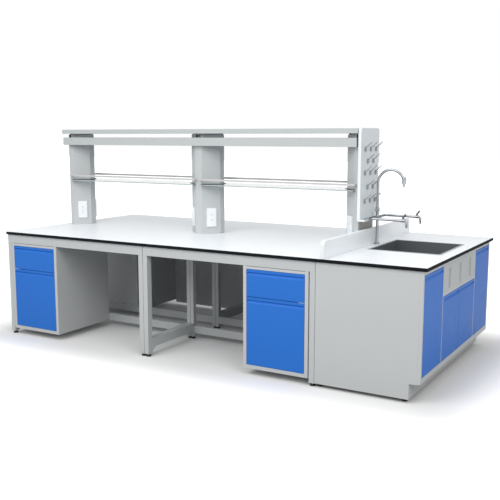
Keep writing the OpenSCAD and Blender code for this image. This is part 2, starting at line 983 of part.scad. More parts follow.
// Pins of one sink unit door, from z0 to z1
module unit_pivots(y, z0, z1) {
    translate([unit_face - pivot_in, y, z0]) {
        cylinder(d = flange_d, h = flange_t);
        cylinder(d = pin_d, h = front_gap + pin_in);
    }
    translate([unit_face - pivot_in, y, z1 - flange_t]) cylinder(d = flange_d, h = flange_t);
    translate([unit_face - pivot_in, y, z1 - front_gap - pin_in]) {
        cylinder(d = pin_d, h = front_gap + pin_in);
    }
}

module door_pivots() {
    color("silver") {
        both_rows() for (i = [0, 1]) translate([ped_x[i], 0, 0]) ped_pivots(i);
        bench() two_sides() {
            unit_pivots(-side_half + front_gap + pivot_in, open_z, open_top);
            unit_pivots(-mid_half + front_gap + pivot_in, open_z, short_top);
        }
    }
}

module pedestal_left_casing() {
    color("silver") front_row() translate([ped_x[0], 0, 0]) casing();
}

module pedestal_left_drawer_front() {
    color("royalblue") front_row() translate([ped_x[0], 0, 0]) drawer_front();
}

module pedestal_left_drawer_box() {
    color("white") front_row() translate([ped_x[0], 0, 0]) drawer_box();
}

module pedestal_left_door() {
    color("steelblue") front_row() translate([ped_x[0], 0, 0]) ped_door(0);
}

module pedestal_right_casing() {
    color("silver") front_row() translate([ped_x[1], 0, 0]) casing();
}

module pedestal_right_drawer_front() {
    color("royalblue") front_row() translate([ped_x[1], 0, 0]) drawer_front();
}

module pedestal_right_drawer_box() {
    color("white") front_row() translate([ped_x[1], 0, 0]) drawer_box();
}

module pedestal_right_door() {
    color("steelblue") front_row() translate([ped_x[1], 0, 0]) ped_door(1);
}

module back_pedestal_left_casing() {
    color("silver") back_row() translate([ped_x[0], 0, 0]) casing();
}

module back_pedestal_left_drawer() {
    color("royalblue") back_row() translate([ped_x[0], 0, 0]) {
        drawer_front();
        drawer_box();
    }
}

module back_pedestal_left_door() {
    color("steelblue") back_row() translate([ped_x[0], 0, 0]) ped_door(0);
}

module back_pedestal_right_casing() {
    color("silver") back_row() translate([ped_x[1], 0, 0]) casing();
}

module back_pedestal_right_drawer() {
    color("royalblue") back_row() translate([ped_x[1], 0, 0]) {
        drawer_front();
        drawer_box();
    }
}

module back_pedestal_right_door() {
    color("steelblue") back_row() translate([ped_x[1], 0, 0]) ped_door(1);
}

module back_cover_panels() {
    left_x = ped_x[0] + ped_w;
    right_x = frame_x[2] + leg_w;
    color("silver") back_row() {
        translate([left_x, 0, unit_z]) {
            cube([frame_x[1] - left_x, side_t, ped_top - unit_z]);
        }
        translate([right_x, 0, unit_z]) {
            cube([ped_x[1] - right_x, side_t, ped_top - unit_z]);
        }
    }
}

// Sink unit

// Two sides with the back, floor, toe board and partitions fitted between them
module sink_unit_carcass() {
    depth = shell_face - unit_x;
    span = front_y - side_t - board_gap;
    room_x = unit_x + unit_back_t + board_gap;
    part_z = toe_h + floor_t + board_gap;
    color("lightgray") bench() {
        two_sides() difference() {
            translate([unit_x, -front_y, unit_z]) cube([depth, side_t, under - unit_z]);
            translate([toe_x, -front_y - cut, unit_z - cut]) {
                cube([depth, side_t + 2 * cut, toe_h - unit_z + cut]);
            }
        }
        translate([unit_x, -span, unit_z]) cube([unit_back_t, 2 * span, under - unit_z]);
        translate([room_x, -span, toe_h]) cube([shell_face - room_x, 2 * span, floor_t]);
        translate([toe_x - toe_t, -span, unit_z]) {
            cube([toe_t, 2 * span, toe_h - board_gap - unit_z]);
        }
        two_sides() {
            translate([room_x, -mid_half - mullion_w / 2 - part_t / 2, part_z]) {
                cube([shell_face - room_x, part_t, under - part_z]);
            }
        }
    }
}

module sink_unit_face_frame() {
    frame_d = front_t + back_gap;
    color("lightgray") bench() difference() {
        translate([shell_face, -front_y, face_z]) {
            cube([frame_d, 2 * front_y, under - face_z]);
        }
        two_sides() translate([shell_face - cut, -side_half, open_z]) {
            cube([
                frame_d + 2 * cut,
                side_half - mid_half - mullion_w,
                open_top - open_z
            ]);
        }
        translate([shell_face - cut, -mid_half, open_z]) {
            cube([frame_d + 2 * cut, 2 * mid_half, short_top - open_z]);
        }
        translate([shell_face - cut, -mid_half, louvre_z]) {
            cube([frame_d + 2 * cut, 2 * mid_half, open_top - louvre_z]);
        }
    }
}

// Places a front on the sink unit's face, its own left edge at y
module on_face(y) {
    bench() translate([unit_face, y, 0]) rotate([0, 0, 90]) children();
}

module sink_door_1() {
    color("steelblue") on_face(-side_half + front_gap) {
        door_panel(tall_w, open_z + front_gap, open_top - front_gap, 0);
    }
}

module sink_door_2() {
    color("cornflowerblue") on_face(-mid_half + front_gap) {
        door_panel(short_w, open_z + front_gap, short_top - front_gap, 0);
    }
}

module sink_door_3() {
    color("cornflowerblue") on_face(pair_gap / 2) {
        door_panel(short_w, open_z + front_gap, short_top - front_gap, 1);
    }
}

module sink_door_4() {
    color("steelblue") on_face(mid_half + mullion_w + front_gap) {
        door_panel(tall_w, open_z + front_gap, open_top - front_gap, 1);
    }
}

module louvre_panel() {
    first_z = louvre_z + louvre_h / 2 - (slot_n - 1) * slot_pitch / 2;
    color("lightsteelblue") bench() difference() {
        translate([unit_face - front_t, -mid_half, louvre_z]) {
            cube([front_t, 2 * mid_half, louvre_h]);
        }
        for (i = [-1, 0, 1], k = [0 : slot_n - 1]) {
            translate([
                unit_face - front_t - cut,
                i * slot_span - slot_l / 2,
                first_z + k * slot_pitch - slot_h / 2
            ]) {
                cube([front_t + 2 * cut, slot_l, slot_h]);
            }
        }
    }
}

// Sink

// Bowl bonded from five plates: a floor, two long walls on it and two short ones between these
module sink_bowl() {
    wall_h = bowl_in - bond_gap;
    color("gray") bench() translate([sink_x, sink_off, bowl_z]) {
        difference() {
            block(bowl_w + 2 * bowl_wall, bowl_d + 2 * bowl_wall, bowl_wall);
            translate([0, 0, -cut]) {
                cylinder(d = drain_neck_d + 2 * drain_room, h = bowl_wall + 2 * cut);
            }
        }
        translate([0, 0, bowl_wall + bond_gap]) for (s = [-1, 1]) {
            translate([s * (bowl_w + bowl_wall) / 2, 0, 0]) {
                block(bowl_wall, bowl_d + 2 * bowl_wall, wall_h);
            }
            translate([0, s * (bowl_d + bowl_wall) / 2, 0]) {
                block(bowl_w - 2 * bond_gap, bowl_wall, wall_h);
            }
        }
    }
}

module sink_rim() {
    color("darkgray") bench() translate([sink_x, sink_off, top_h]) difference() {
        block(sink_w, sink_d, rim_t);
        translate([0, 0, -cut]) block(bowl_w, bowl_d, rim_t + 2 * cut);
    }
}

module sink_drain() {
    color("silver") bench() translate([sink_x, sink_off, 0]) difference() {
        union() {
            translate([0, 0, bowl_z + bowl_wall]) {
                cylinder(d = tail_d + 2 * drain_lip, h = drain_t);
            }
            translate([0, 0, bowl_z - tail_l]) {
                cylinder(d = tail_d, h = tail_l - drain_room);
                cylinder(d = drain_neck_d, h = tail_l + bowl_wall + drain_t);
            }
        }
        translate([0, 0, bowl_z - tail_l - cut]) {
            cylinder(d = tail_d - 2 * tail_wall, h = tail_l + bowl_wall + drain_t + 2 * cut);
        }
    }
}

module upstand() {
    color("gainsboro") bench() translate([shelf_end + up_gap, 0, top_h]) {
        along_x(up_t) arched_outline(top_d, up_h, up_r);
    }
}

// Reagent shelf

// Outline of a column, grown by g on every side
module column_outline(g) {
    step = g * tan(facet_a / 2);
    nose = nose_w / 2 + step;
    side = col_d / 2 - (col_w - nose_w) / 2 + step;
    w = col_w / 2 + g;
    d = col_d / 2 + g;
    polygon([
        [nose, -d], [w, -side], [w, side], [nose, d],
        [-nose, d], [-w, side], [-w, -side], [-nose, -d]
    ]);
}

module column(x) {
    bench() translate([x, 0, top_h]) {
        difference() {
            linear_extrude(col_h) column_outline(0);
            translate([0, 0, -cut]) {
                linear_extrude(col_h - col_wall + cut) column_outline(-col_wall);
            }
            two_sides() {
                translate([-notch_w / 2, -col_d / 2 - cut, col_h - col_wall - notch_h]) {
                    cube([notch_w, col_wall + 2 * cut, notch_h]);
                }
            }
        }
        translate([0, 0, col_h - cut]) linear_extrude(cap_h + cut) column_outline(-cap_in);
    }
}

// Half of the space, on the side of a column given by the sign
module half_space(x, side) {
    bench() translate([x + (side > 0 ? 0 : -col_w), -col_d, 0]) {
        cube([col_w, 2 * col_d, tray_z + col_w]);
    }
}

module column_left() {
    color("lightgray") intersection() {
        column(col_x[0]);
        half_space(col_x[0], 1);
    }
}

module column_middle() {
    color("lightgray") column(col_x[1]);
}

module column_right() {
    color("lightgray") intersection() {
        column(col_x[2]);
        half_space(col_x[2], -1);
    }
}

module column_end_covers() {
    color("darkgray") bench() for (x = [shelf_in, shelf_end - cover_t]) {
        translate([x, -col_d / 2, top_h]) cube([cover_t, col_d, col_h]);
    }
}

module top_shelf() {
    length = shelf_l + tray_over - tray_short;
    color("lightgray") bench() translate([shelf_in - tray_over, -tray_w / 2, tray_z]) {
        difference() {
            cube([length, tray_w, tray_h]);
            translate([tray_t, tray_t, tray_t]) {
                cube([length - 2 * tray_t, tray_w - 2 * tray_t, tray_h]);
            }
        }
    }
}

module shelf_beams() {
    length = shelf_l + beam_over - beam_short;
    x = shelf_in - beam_over;
    z = col_top - beam_drop - beam_h;
    color("lightgray") two_sides() bench() translate([x, -col_d / 2 - beam_t, z]) {
        difference() {
            cube([length, beam_t, beam_h]);
            translate([-cut, tube_wall, tube_wall]) {
                cube([length + 2 * cut, beam_t - 2 * tube_wall, beam_h - 2 * tube_wall]);
            }
            translate([0, -cut, 0]) difference() {
                translate([-cut, 0, -cut]) {
                    cube([beam_r + cut, beam_t + 2 * cut, beam_r + cut]);
                }
                translate([beam_r, -cut, beam_r]) {
                    rotate([-90, 0, 0]) cylinder(r = beam_r, h = beam_t + 4 * cut);
                }
            }
        }
    }
}

module glass_shelf(i) {
    x = col_x[i] + nose_w / 2;
    bench() difference() {
        translate([x, -glass_w / 2, glass_z]) {
            cube([col_x[i + 1] - nose_w / 2 - x, glass_w, glass_t]);
        }
        for (k = [i, i + 1]) translate([col_x[k], 0, glass_z - cut]) {
            linear_extrude(glass_t + 2 * cut) column_outline(clip_web + glass_play);
        }
    }
}

module glass_shelf_left() {
    color("lightcyan") glass_shelf(0);
}

module glass_shelf_right() {
    color("lightcyan") glass_shelf(1);
}

// U profile round one side of a column; side is 1 for right and -1 for left
module glass_clip(x, side) {
    slot = glass_t + 2 * glass_play;
    edge = side > 0 ? nose_w / 2 : -nose_w / 2 - col_w;
    bench() translate([x, 0, clip_z]) intersection() {
        difference() {
            linear_extrude(clip_h) column_outline(clip_out);
            translate([0, 0, -cut]) linear_extrude(clip_h + 2 * cut) column_outline(0);
            translate([0, 0, clip_h / 2 - slot / 2]) linear_extrude(slot) difference() {
                column_outline(clip_out + cut);
                column_outline(clip_web);
            }
        }
        translate([edge, -col_d, -cut]) cube([col_w, 2 * col_d, clip_h + 2 * cut]);
    }
}

module glass_clips() {
    color("dimgray") {
        glass_clip(col_x[0], 1);
        glass_clip(col_x[1], -1);
        glass_clip(col_x[1], 1);
        glass_clip(col_x[2], -1);
    }
}

module guard_rails() {
    z = glass_z + glass_t + guard_up;
    y = -glass_w / 2 + guard_in;
    color("silver") two_sides() bench() for (i = [0, 1]) {
        x0 = col_x[i] + nose_w / 2 - holder_w;
        x1 = col_x[i + 1] - nose_w / 2 + holder_w;
        translate([x0, y, z]) cube([x1 - x0, guard_t, guard_h]);
        for (x = [x0, x1 - holder_w]) {
            translate([x, y, z + (guard_h - holder_h) / 2]) {
                cube([holder_w, -col_d / 2 - y, holder_h]);
            }
        }
    }
}

// Double socket on a plate; its back lies at Y = 0 and it faces -Y
module outlet() {
    difference() {
        union() {
            translate([-out_w / 2, -out_t, -out_h / 2]) cube([out_w, out_t, out_h]);
            for (s = [-1, 1]) translate([0, -out_t, s * socket_pitch / 2]) {
                rotate([90, 0, 0]) cylinder(d = socket_d, h = socket_up);
            }
        }
        for (s = [-1, 1]) translate([0, -out_t - socket_up - cut, s * socket_pitch / 2]) {
            for (b = [-1, 1]) {
                translate([b * blade_half - blade_w / 2, 0, blade_up - blade_h / 2]) {
                    cube([blade_w, blade_in + cut, blade_h]);
                }
            }
            translate([0, 0, -earth_down]) rotate([-90, 0, 0]) {
                cylinder(d = earth_d, h = blade_in + cut);
            }
        }
    }
}

module outlet_plates() {
    x = (col_w + nose_w) / 4;
    y = -col_d / 2 + (col_w - nose_w) / 4;
    z = top_h + out_up + out_h / 2;
    color("whitesmoke") two_sides() bench() {
        for (c = [[0, 1], [1, -1], [1, 1], [2, -1]]) {
            translate([col_x[c[0]] + c[1] * x, y, z]) rotate([0, 0, c[1] * facet_a]) outlet();
        }
    }
}

// Pegboard

module pegboard() {
    color("lightgray") bench() translate([shelf_end, 0, board_z]) {
        along_x(board_t) arched_outline(board_w, board_h, board_r);
    }
}

module drip_trough() {
    color("lightgray") bench() {
        translate([shelf_end, -board_w / 2, board_z - trough_h]) difference() {
            cube([board_t + trough_out, board_w, trough_h]);
            translate([trough_t, trough_t, trough_t]) {
                cube([
                    board_t + trough_out - 2 * trough_t,
                    board_w - 2 * trough_t,
                    trough_h
                ]);
            }
        }
    }
}

module peg() {
    rod_l = peg_run / cos(peg_tilt);
    translate([0, -peg_block_w / 2, -peg_block_h / 2]) {
        cube([peg_block_t, peg_block_w, peg_block_h]);
    }
    translate([peg_block_t / 2, 0, peg_block_h / 2 - peg_down]) rotate([0, 90 - peg_tilt, 0]) {
        cylinder(d = peg_d, h = rod_l);
        translate([0, 0, rod_l]) sphere(d = peg_d);
    }
}

module pegs() {
    color("darkgray") bench() for (row = peg_rows, k = [0 : row[1] - 1]) {
        translate([
            shelf_end + board_t,
            (k - (row[1] - 1) / 2) * peg_pitch,
            top_h + row[0]
        ]) peg();
    }
}

// Tap, drawn from its own axis

module at_tap() {
    bench() translate([tap_x, sink_off, 0]) children();
}

// Solid bend in the XY plane: starts at the origin along X and turns to the left by an angle
module bend(d, r, angle) {
    translate([0, r, 0]) rotate([0, 0, -90]) {
        rotate_extrude(angle = angle) translate([r, 0]) circle(d = d);
    }
}

module spigot_bore() {
    cylinder(d = spigot_d + 2 * spigot_room, h = spigot_l + cut);
}

module tap_body() {
    color("silver") at_tap() difference() {
        union() {
            translate([0, 0, top_h]) cylinder(d = base_d, h = base_h);
            translate([0, 0, under - shank_l]) cylinder(d = shank_d, h = shank_l + top_t + cut);
            translate([0, 0, top_h]) cylinder(d = riser_d, h = collar_up - cut);
            translate([0, tee_half, arm_z]) {
                rotate([90, 0, 0]) cylinder(d = tee_d, h = 2 * tee_half);
            }
            translate([0, 0, collar_top - collar_h]) cylinder(d = collar_d, h = collar_h);
            translate([0, 0, knob_z]) rotate([90, 0, 0]) {
                cylinder(d = boss_d, h = collar_d / 2 + boss_l);
            }
        }
        translate([0, 0, collar_top - spigot_l]) spigot_bore();
        translate([0, -collar_d / 2 - boss_l + spigot_l, knob_z]) {
            rotate([90, 0, 0]) spigot_bore();
        }
    }
}

// One side arm, from the tee outwards along +Y and then forward along +X
module tap_arm() {
    difference() {
        union() {
            translate([0, tee_half, 0]) rotate([-90, 0, 0]) {
                cylinder(d = pipe_d, h = arm_half - arm_r - tee_half);
            }
            translate([0, arm_half - arm_r, 0]) rotate([0, 0, 90]) mirror([0, 1, 0]) {
                bend(arm_d, arm_r, 90);
            }
            translate([arm_r, arm_half, 0]) rotate([0, 90, 0]) {
                cylinder(d = arm_d, h = arm_l - drop_r - arm_r);
            }
            translate([arm_l - drop_r, arm_half, 0]) rotate([-90, 0, 0]) {
                bend(arm_d, drop_r, 90);
            }
            translate([valve_l - valve_len / 2, arm_half, 0]) rotate([0, 90, 0]) {
                cylinder(d = valve_d, h = valve_len);
            }
            translate([valve_l, arm_half, 0]) cylinder(d = neck_d, h = neck_h);
            for (k = [0 : nozzle_n - 1]) {
                ring_h = nozzle_l / nozzle_n;
                translate([arm_l, arm_half, -drop_r - (k + 1) * ring_h]) {
                    cylinder(
                        d1 = nozzle_d - nozzle_taper - k * nozzle_step,
                        d2 = nozzle_d - k * nozzle_step,
                        h = ring_h);
                }
            }
        }
        translate([valve_l, arm_half, neck_h - spigot_l]) spigot_bore();
    }
}

module tap_arms() {
    color("silver") at_tap() translate([0, 0, arm_z]) two_sides() tap_arm();
}

module tap_gooseneck() {
    foot_z = collar_top + turn_gap;
    color("lightgray") at_tap() difference() {
        union() {
            translate([0, 0, collar_top - spigot_l + turn_gap]) {
                cylinder(d = spigot_d, h = spigot_l + cut);
            }
            translate([0, 0, foot_z]) cylinder(d = neck_tube_d, h = bend_z - foot_z);
            translate([bend_r, 0, bend_z]) over_bend(neck_tube_d);
            translate([2 * bend_r, 0, outlet_z]) {
                cylinder(d = outlet_d, h = outlet_h);
            }
            translate([2 * bend_r, 0, outlet_z - tip_l]) {
                cylinder(d = tip_d, h = tip_l + cut);
            }
            translate([0, 0, top_h + screw_up]) rotate([0, 90, 0]) {
                cylinder(d = screw_d, h = neck_tube_d / 2 + screw_out);
            }
        }
        translate([0, 0, foot_z + neck_foot]) {
            cylinder(d = neck_bore_d, h = bend_z - foot_z - neck_foot);
        }
        translate([bend_r, 0, bend_z]) over_bend(neck_bore_d);
        translate([2 * bend_r, 0, outlet_z - tip_l - cut]) {
            cylinder(d = neck_bore_d, h = bend_z - outlet_z + tip_l + cut);
        }
    }
}

// Upright half ring round the origin
module over_bend(d) {
    rotate([90, 0, 0]) rotate_extrude(angle = 180) translate([bend_r, 0]) circle(d = d);
}

// A lever on its hub; the hub stands on a valve's neck at the origin
module lever() {
    translate([0, 0, -spigot_l + turn_gap]) cylinder(d = spigot_d, h = spigot_l + cut);
    translate([0, 0, turn_gap]) cylinder(d = hub_d, h = hub_h);
    translate([0, 0, turn_gap + hub_h / 2]) rotate([0, 90 - lever_tilt, 0]) {
        cylinder(d = lever_d, h = lever_l);
        translate([0, 0, lever_l]) sphere(d = lever_d);
    }
}

module tap_lever_near() {
    color("dimgray") at_tap() translate([valve_l, -arm_half, arm_z + neck_h]) lever();
}

module tap_lever_far() {
    color("dimgray") at_tap() translate([valve_l, arm_half, arm_z + neck_h]) lever();
}

module tap_knob() {
    color("dimgray") at_tap() translate([0, -collar_d / 2 - boss_l, knob_z]) {
        rotate([90, 0, 0]) {
            translate([0, 0, -spigot_l + turn_gap]) cylinder(d = spigot_d, h = spigot_l + cut);
            translate([0, 0, turn_gap]) cylinder(d = knob_d, h = knob_l, $fn = knob_sides);
        }
    }
}

worktop_left();
worktop_middle();
worktop_sink();
edge_bands();
outer_legs();
inner_legs();
side_rails();
side_stretchers();
apron_rails();
inner_rails();
levelling_feet();
hanger_bars();
pedestal_left_casing();
pedestal_left_drawer_front();
pedestal_left_drawer_box();
pedestal_left_door();
pedestal_right_casing();
pedestal_right_drawer_front();
pedestal_right_drawer_box();
pedestal_right_door();
back_pedestal_left_casing();
back_pedestal_left_drawer();
back_pedestal_left_door();
back_pedestal_right_casing();
back_pedestal_right_drawer();
back_pedestal_right_door();
drawer_runners();
door_pivots();
back_cover_panels();
sink_unit_carcass();
sink_unit_face_frame();
sink_door_1();
sink_door_2();
sink_door_3();
sink_door_4();
louvre_panel();
sink_bowl();
sink_rim();
sink_drain();
upstand();
column_left();
column_middle();
column_right();
column_end_covers();
top_shelf();
shelf_beams();
glass_shelf_left();
glass_shelf_right();
glass_clips();
guard_rails();
outlet_plates();
pegboard();
drip_trough();
pegs();
tap_body();
tap_arms();
tap_gooseneck();
tap_lever_near();
tap_lever_far();
tap_knob();
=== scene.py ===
"""Looks of a lab bench with a reagent shelf and a sink end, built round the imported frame."""

import json
import logging
import math
from dataclasses import dataclass, field
from enum import Enum
from typing import Iterable, Sequence

import bmesh
import bpy
import numpy as np
from mathutils import Euler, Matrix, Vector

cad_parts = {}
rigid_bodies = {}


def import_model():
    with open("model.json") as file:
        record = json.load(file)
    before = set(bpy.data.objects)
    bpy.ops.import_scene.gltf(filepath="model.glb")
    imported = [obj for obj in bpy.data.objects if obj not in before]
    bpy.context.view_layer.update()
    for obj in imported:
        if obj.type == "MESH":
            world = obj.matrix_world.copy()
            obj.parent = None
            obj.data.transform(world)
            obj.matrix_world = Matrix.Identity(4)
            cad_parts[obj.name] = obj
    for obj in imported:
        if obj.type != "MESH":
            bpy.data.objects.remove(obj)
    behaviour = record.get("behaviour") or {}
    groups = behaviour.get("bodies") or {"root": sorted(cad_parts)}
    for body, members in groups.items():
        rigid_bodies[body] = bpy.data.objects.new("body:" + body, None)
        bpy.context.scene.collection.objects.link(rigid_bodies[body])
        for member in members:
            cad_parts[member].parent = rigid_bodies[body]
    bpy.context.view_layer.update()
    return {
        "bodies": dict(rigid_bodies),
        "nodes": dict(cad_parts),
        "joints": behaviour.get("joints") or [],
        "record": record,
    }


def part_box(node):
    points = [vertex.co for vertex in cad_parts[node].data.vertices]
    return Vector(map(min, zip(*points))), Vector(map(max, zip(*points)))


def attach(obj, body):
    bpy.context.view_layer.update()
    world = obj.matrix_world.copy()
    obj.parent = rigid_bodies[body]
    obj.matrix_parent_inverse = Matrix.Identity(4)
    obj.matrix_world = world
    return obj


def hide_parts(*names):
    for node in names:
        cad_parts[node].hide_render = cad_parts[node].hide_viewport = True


LOG = logging.getLogger("bench")
Array = np.ndarray
Point = tuple[float, float, float]
Colour = tuple[float, float, float]
Rings = Sequence[tuple[float, float]]

MM = 0.001
CAMERA_AT: Point = (3.12872, -5.20330, 1.62150)
CAMERA_YAW = 30.445
CAMERA_PITCH = 8.398
CAMERA_LENS = 55.626
CAMERA_SENSOR = 36.0
CAMERA_CLIP = (0.05, 100.0)
SMOOTH_UNDER = 32.0
FLAT_UNDER = 0.6
WELD_OWN = 2e-6
WELD_CAD = 1e-5
DOME_END = 0.1 * MM
SIDEWAYS: Point = (0.0, 1.0, 0.0)
UPWARDS: Point = (0.0, 0.0, 1.0)
WHITE = (1.0, 1.0, 1.0, 1.0)
DUST = (0.82, 0.81, 0.79, 1.0)
METAL_TINT = (0.4, 0.42, 0.45, 1.0)
COAT_ROUGHNESS = 0.12
GLASS_IOR = 1.5


class Axis(Enum):
    """Axis that a turned form runs along."""

    X = 0
    Y = 1
    Z = 2


class Facing(Enum):
    """Side of the bench that a front faces."""

    FRONT = "-Y"
    BACK = "+Y"
    END = "+X"


class Shine(Enum):
    """Family of shader that a finish needs."""

    SOLID = "solid"
    METAL = "metal"
    GLASS = "glass"


def srgb(red: int, green: int, blue: int) -> Colour:
    """Linear colour from eight-bit screen values, by the screen's curve: a short line, then a power of 2.4.

    Args:
        red: Red, 0 to 255.
        green: Green, 0 to 255.
        blue: Blue, 0 to 255.

    Returns:
        The colour in linear light.
    """
    c = np.array([red, green, blue]) / 255.0
    return tuple(float(v) for v in np.where(c <= 0.04045, c / 12.92, ((c + 0.055) / 1.055) ** 2.4))


def fill(node: bpy.types.Node, values: dict[str, object]) -> None:
    """Sets input sockets of a node by name."""
    for name, value in values.items():
        node.inputs[name].default_value = value


@dataclass
class Graph:
    """Short hand for adding nodes and links to a node tree."""

    tree: bpy.types.NodeTree

    def node(self, kind: str, values: dict[str, object] | None = None, **settings: object) -> bpy.types.Node:
        """Adds a node.

        Args:
            kind: Blender's name of the node type.
            values: Values for its input sockets, by name.
            settings: Values for its properties.

        Returns:
            The new node.
        """
        made = self.tree.nodes.new(kind)
        for name, value in settings.items():
            setattr(made, name, value)
        fill(made, values or {})
        return made

    def link(self, out: bpy.types.NodeSocket, into: bpy.types.NodeSocket) -> None:
        """Joins an output socket to an input socket."""
        self.tree.links.new(out, into)

    def maths(self, kind: str, a: object, b: object = 0.0) -> bpy.types.NodeSocket:
        """Adds a Math node whose inputs are sockets or numbers.

        Args:
            kind: Operation.
            a: First input, a socket or a number.
            b: Second input, a socket or a number.

        Returns:
            The result's socket.
        """
        made = self.node("ShaderNodeMath", operation=kind)
        for i, value in enumerate((a, b)):
            if isinstance(value, bpy.types.NodeSocket):
                self.link(value, made.inputs[i])
            else:
                made.inputs[i].default_value = value
        return made.outputs[0]

    def noise(self, at: bpy.types.NodeSocket, pitch: bpy.types.NodeSocket,
              **values: float) -> bpy.types.NodeSocket:
        """Adds a noise texture.

        Args:
            at: Socket of the coordinates.
            pitch: Socket of the scale.
            values: Values for its other inputs, by name.

        Returns:
            Socket of the noise.
        """
        made = self.node("ShaderNodeTexNoise", values)
        self.link(at, made.inputs["Vector"])
        self.link(pitch, made.inputs["Scale"])
        return made.outputs["Fac"]

    def ranged(self, value: bpy.types.NodeSocket, limits: dict[str, float],
               **settings: object) -> bpy.types.NodeSocket:
        """Adds a node that carries a value from one range to another.

        Args:
            value: Socket of the value.
            limits: Ends of the ranges, by socket name.
            settings: Values for the node's properties.

        Returns:
            Socket of the result.
        """
        made = self.node("ShaderNodeMapRange", limits, **settings)
        self.link(value, made.inputs["Value"])
        return made.outputs[0]


def new_group(name: str, floats: dict[str, float], vectors: dict[str, Sequence[float]],
              colours: dict[str, Sequence[float]], outs: dict[str, str]) -> tuple[Graph, dict, dict]:
    """Starts a shader node group with named sockets.

    Args:
        name: Name of the group.
        floats: Number inputs and their defaults.
        vectors: Vector inputs and their defaults.
        colours: Colour inputs and their defaults.
        outs: Output names and their socket types.

    Returns:
        The graph, the sockets of the inputs and the sockets of the outputs.
    """
    tree = bpy.data.node_groups.new(name, "ShaderNodeTree")
    kinds = (("NodeSocketFloat", floats), ("NodeSocketVector", vectors), ("NodeSocketColor", colours))
    for kind, entries in kinds:
        for key, value in entries.items():
            tree.interface.new_socket(key, in_out="INPUT", socket_type=kind).default_value = value
    for key, kind in outs.items():
        tree.interface.new_socket(key, in_out="OUTPUT", socket_type=kind)
    graph = Graph(tree)
    source = graph.node("NodeGroupInput")
    sink = graph.node("NodeGroupOutput")
    return graph, source.outputs, sink.inputs


def grain_group() -> bpy.types.NodeTree:
    """Fine grain of a coated or moulded surface.

    Noise at the grain's pitch, stretched along an axis, gives the height. The same noise and a broad
    one shift the colour and the roughness a little.

    Returns:
        The group, made once.
    """
    name = "surface grain"
    if name in bpy.data.node_groups:
        return bpy.data.node_groups[name]
    graph, ins, outs = new_group(
        name,
        {"Pitch": 900.0, "Relief": 0.3, "Tone": 0.03, "Roughness": 0.4, "Roughness shift": 0.06,
         "Cloud pitch": 3.0},
        {"Stretch": (1.0, 1.0, 1.0)}, {"Colour": (0.8, 0.8, 0.8, 1.0)},
        {"Colour": "NodeSocketColor", "Roughness": "NodeSocketFloat", "Height": "NodeSocketFloat"})
    place = graph.node("ShaderNodeTexCoord")
    stretch = graph.node("ShaderNodeVectorMath", operation="MULTIPLY")
    graph.link(place.outputs["Object"], stretch.inputs[0])
    graph.link(ins["Stretch"], stretch.inputs[1])
    fine = graph.noise(stretch.outputs[0], ins["Pitch"], Detail=3.0, Roughness=0.6)
    cloud = graph.noise(place.outputs["Object"], ins["Cloud pitch"], Detail=4.0, Roughness=0.55)
    cloudy = graph.maths("SUBTRACT", cloud, 0.5)
    grainy = graph.maths("SUBTRACT", fine, 0.5)
    mixed = graph.maths("ADD", cloudy, graph.maths("MULTIPLY", grainy, 0.6))
    shift = graph.maths("MULTIPLY", mixed, ins["Tone"])
    toned = graph.node("ShaderNodeHueSaturation")
    graph.link(graph.maths("ADD", graph.maths("MULTIPLY", shift, 2.0), 1.0), toned.inputs["Value"])
    graph.link(ins["Colour"], toned.inputs["Color"])
    graph.link(toned.outputs["Color"], outs["Colour"])
    rough = graph.maths("ADD", ins["Roughness"], graph.maths("MULTIPLY", cloudy, ins["Roughness shift"]))
    graph.link(rough, outs["Roughness"])
    graph.link(graph.maths("MULTIPLY", fine, ins["Relief"]), outs["Height"])
    return graph.tree


def handling_group() -> bpy.types.NodeTree:
    """Faint wipe marks and dust of use.

    A warped noise gives soft smears that raise the roughness. A sparse fine noise gives dust specks
    that lighten the colour.

    Returns:
        The group, made once.
    """
    name = "handling marks"
    if name in bpy.data.node_groups:
        return bpy.data.node_groups[name]
    graph, ins, outs = new_group(
        name, {"Roughness": 0.4, "Smear": 0.08, "Dust": 0.03, "Smear pitch": 7.0, "Dust pitch": 420.0},
        {}, {"Colour": (0.8, 0.8, 0.8, 1.0)},
        {"Colour": "NodeSocketColor", "Roughness": "NodeSocketFloat"})
    place = graph.node("ShaderNodeTexCoord")
    smear = graph.noise(place.outputs["Object"], ins["Smear pitch"], Detail=6.0, Roughness=0.62,
                        Distortion=1.6)
    patch = graph.ranged(smear, {"From Min": 0.48, "From Max": 0.72})
    worn = graph.maths("ADD", ins["Roughness"], graph.maths("MULTIPLY", patch, ins["Smear"]))
    graph.link(worn, outs["Roughness"])
    speck = graph.noise(place.outputs["Object"], ins["Dust pitch"], Detail=1.0)
    sparse = graph.ranged(speck, {"From Min": 0.66, "From Max": 0.78})
    mixed = graph.node("ShaderNodeMix", data_type="RGBA", blend_type="MIX")
    graph.link(graph.maths("MULTIPLY", sparse, ins["Dust"]), mixed.inputs["Factor"])
    graph.link(ins["Colour"], mixed.inputs["A"])
    mixed.inputs["B"].default_value = DUST
    graph.link(mixed.outputs["Result"], outs["Colour"])
    return graph.tree


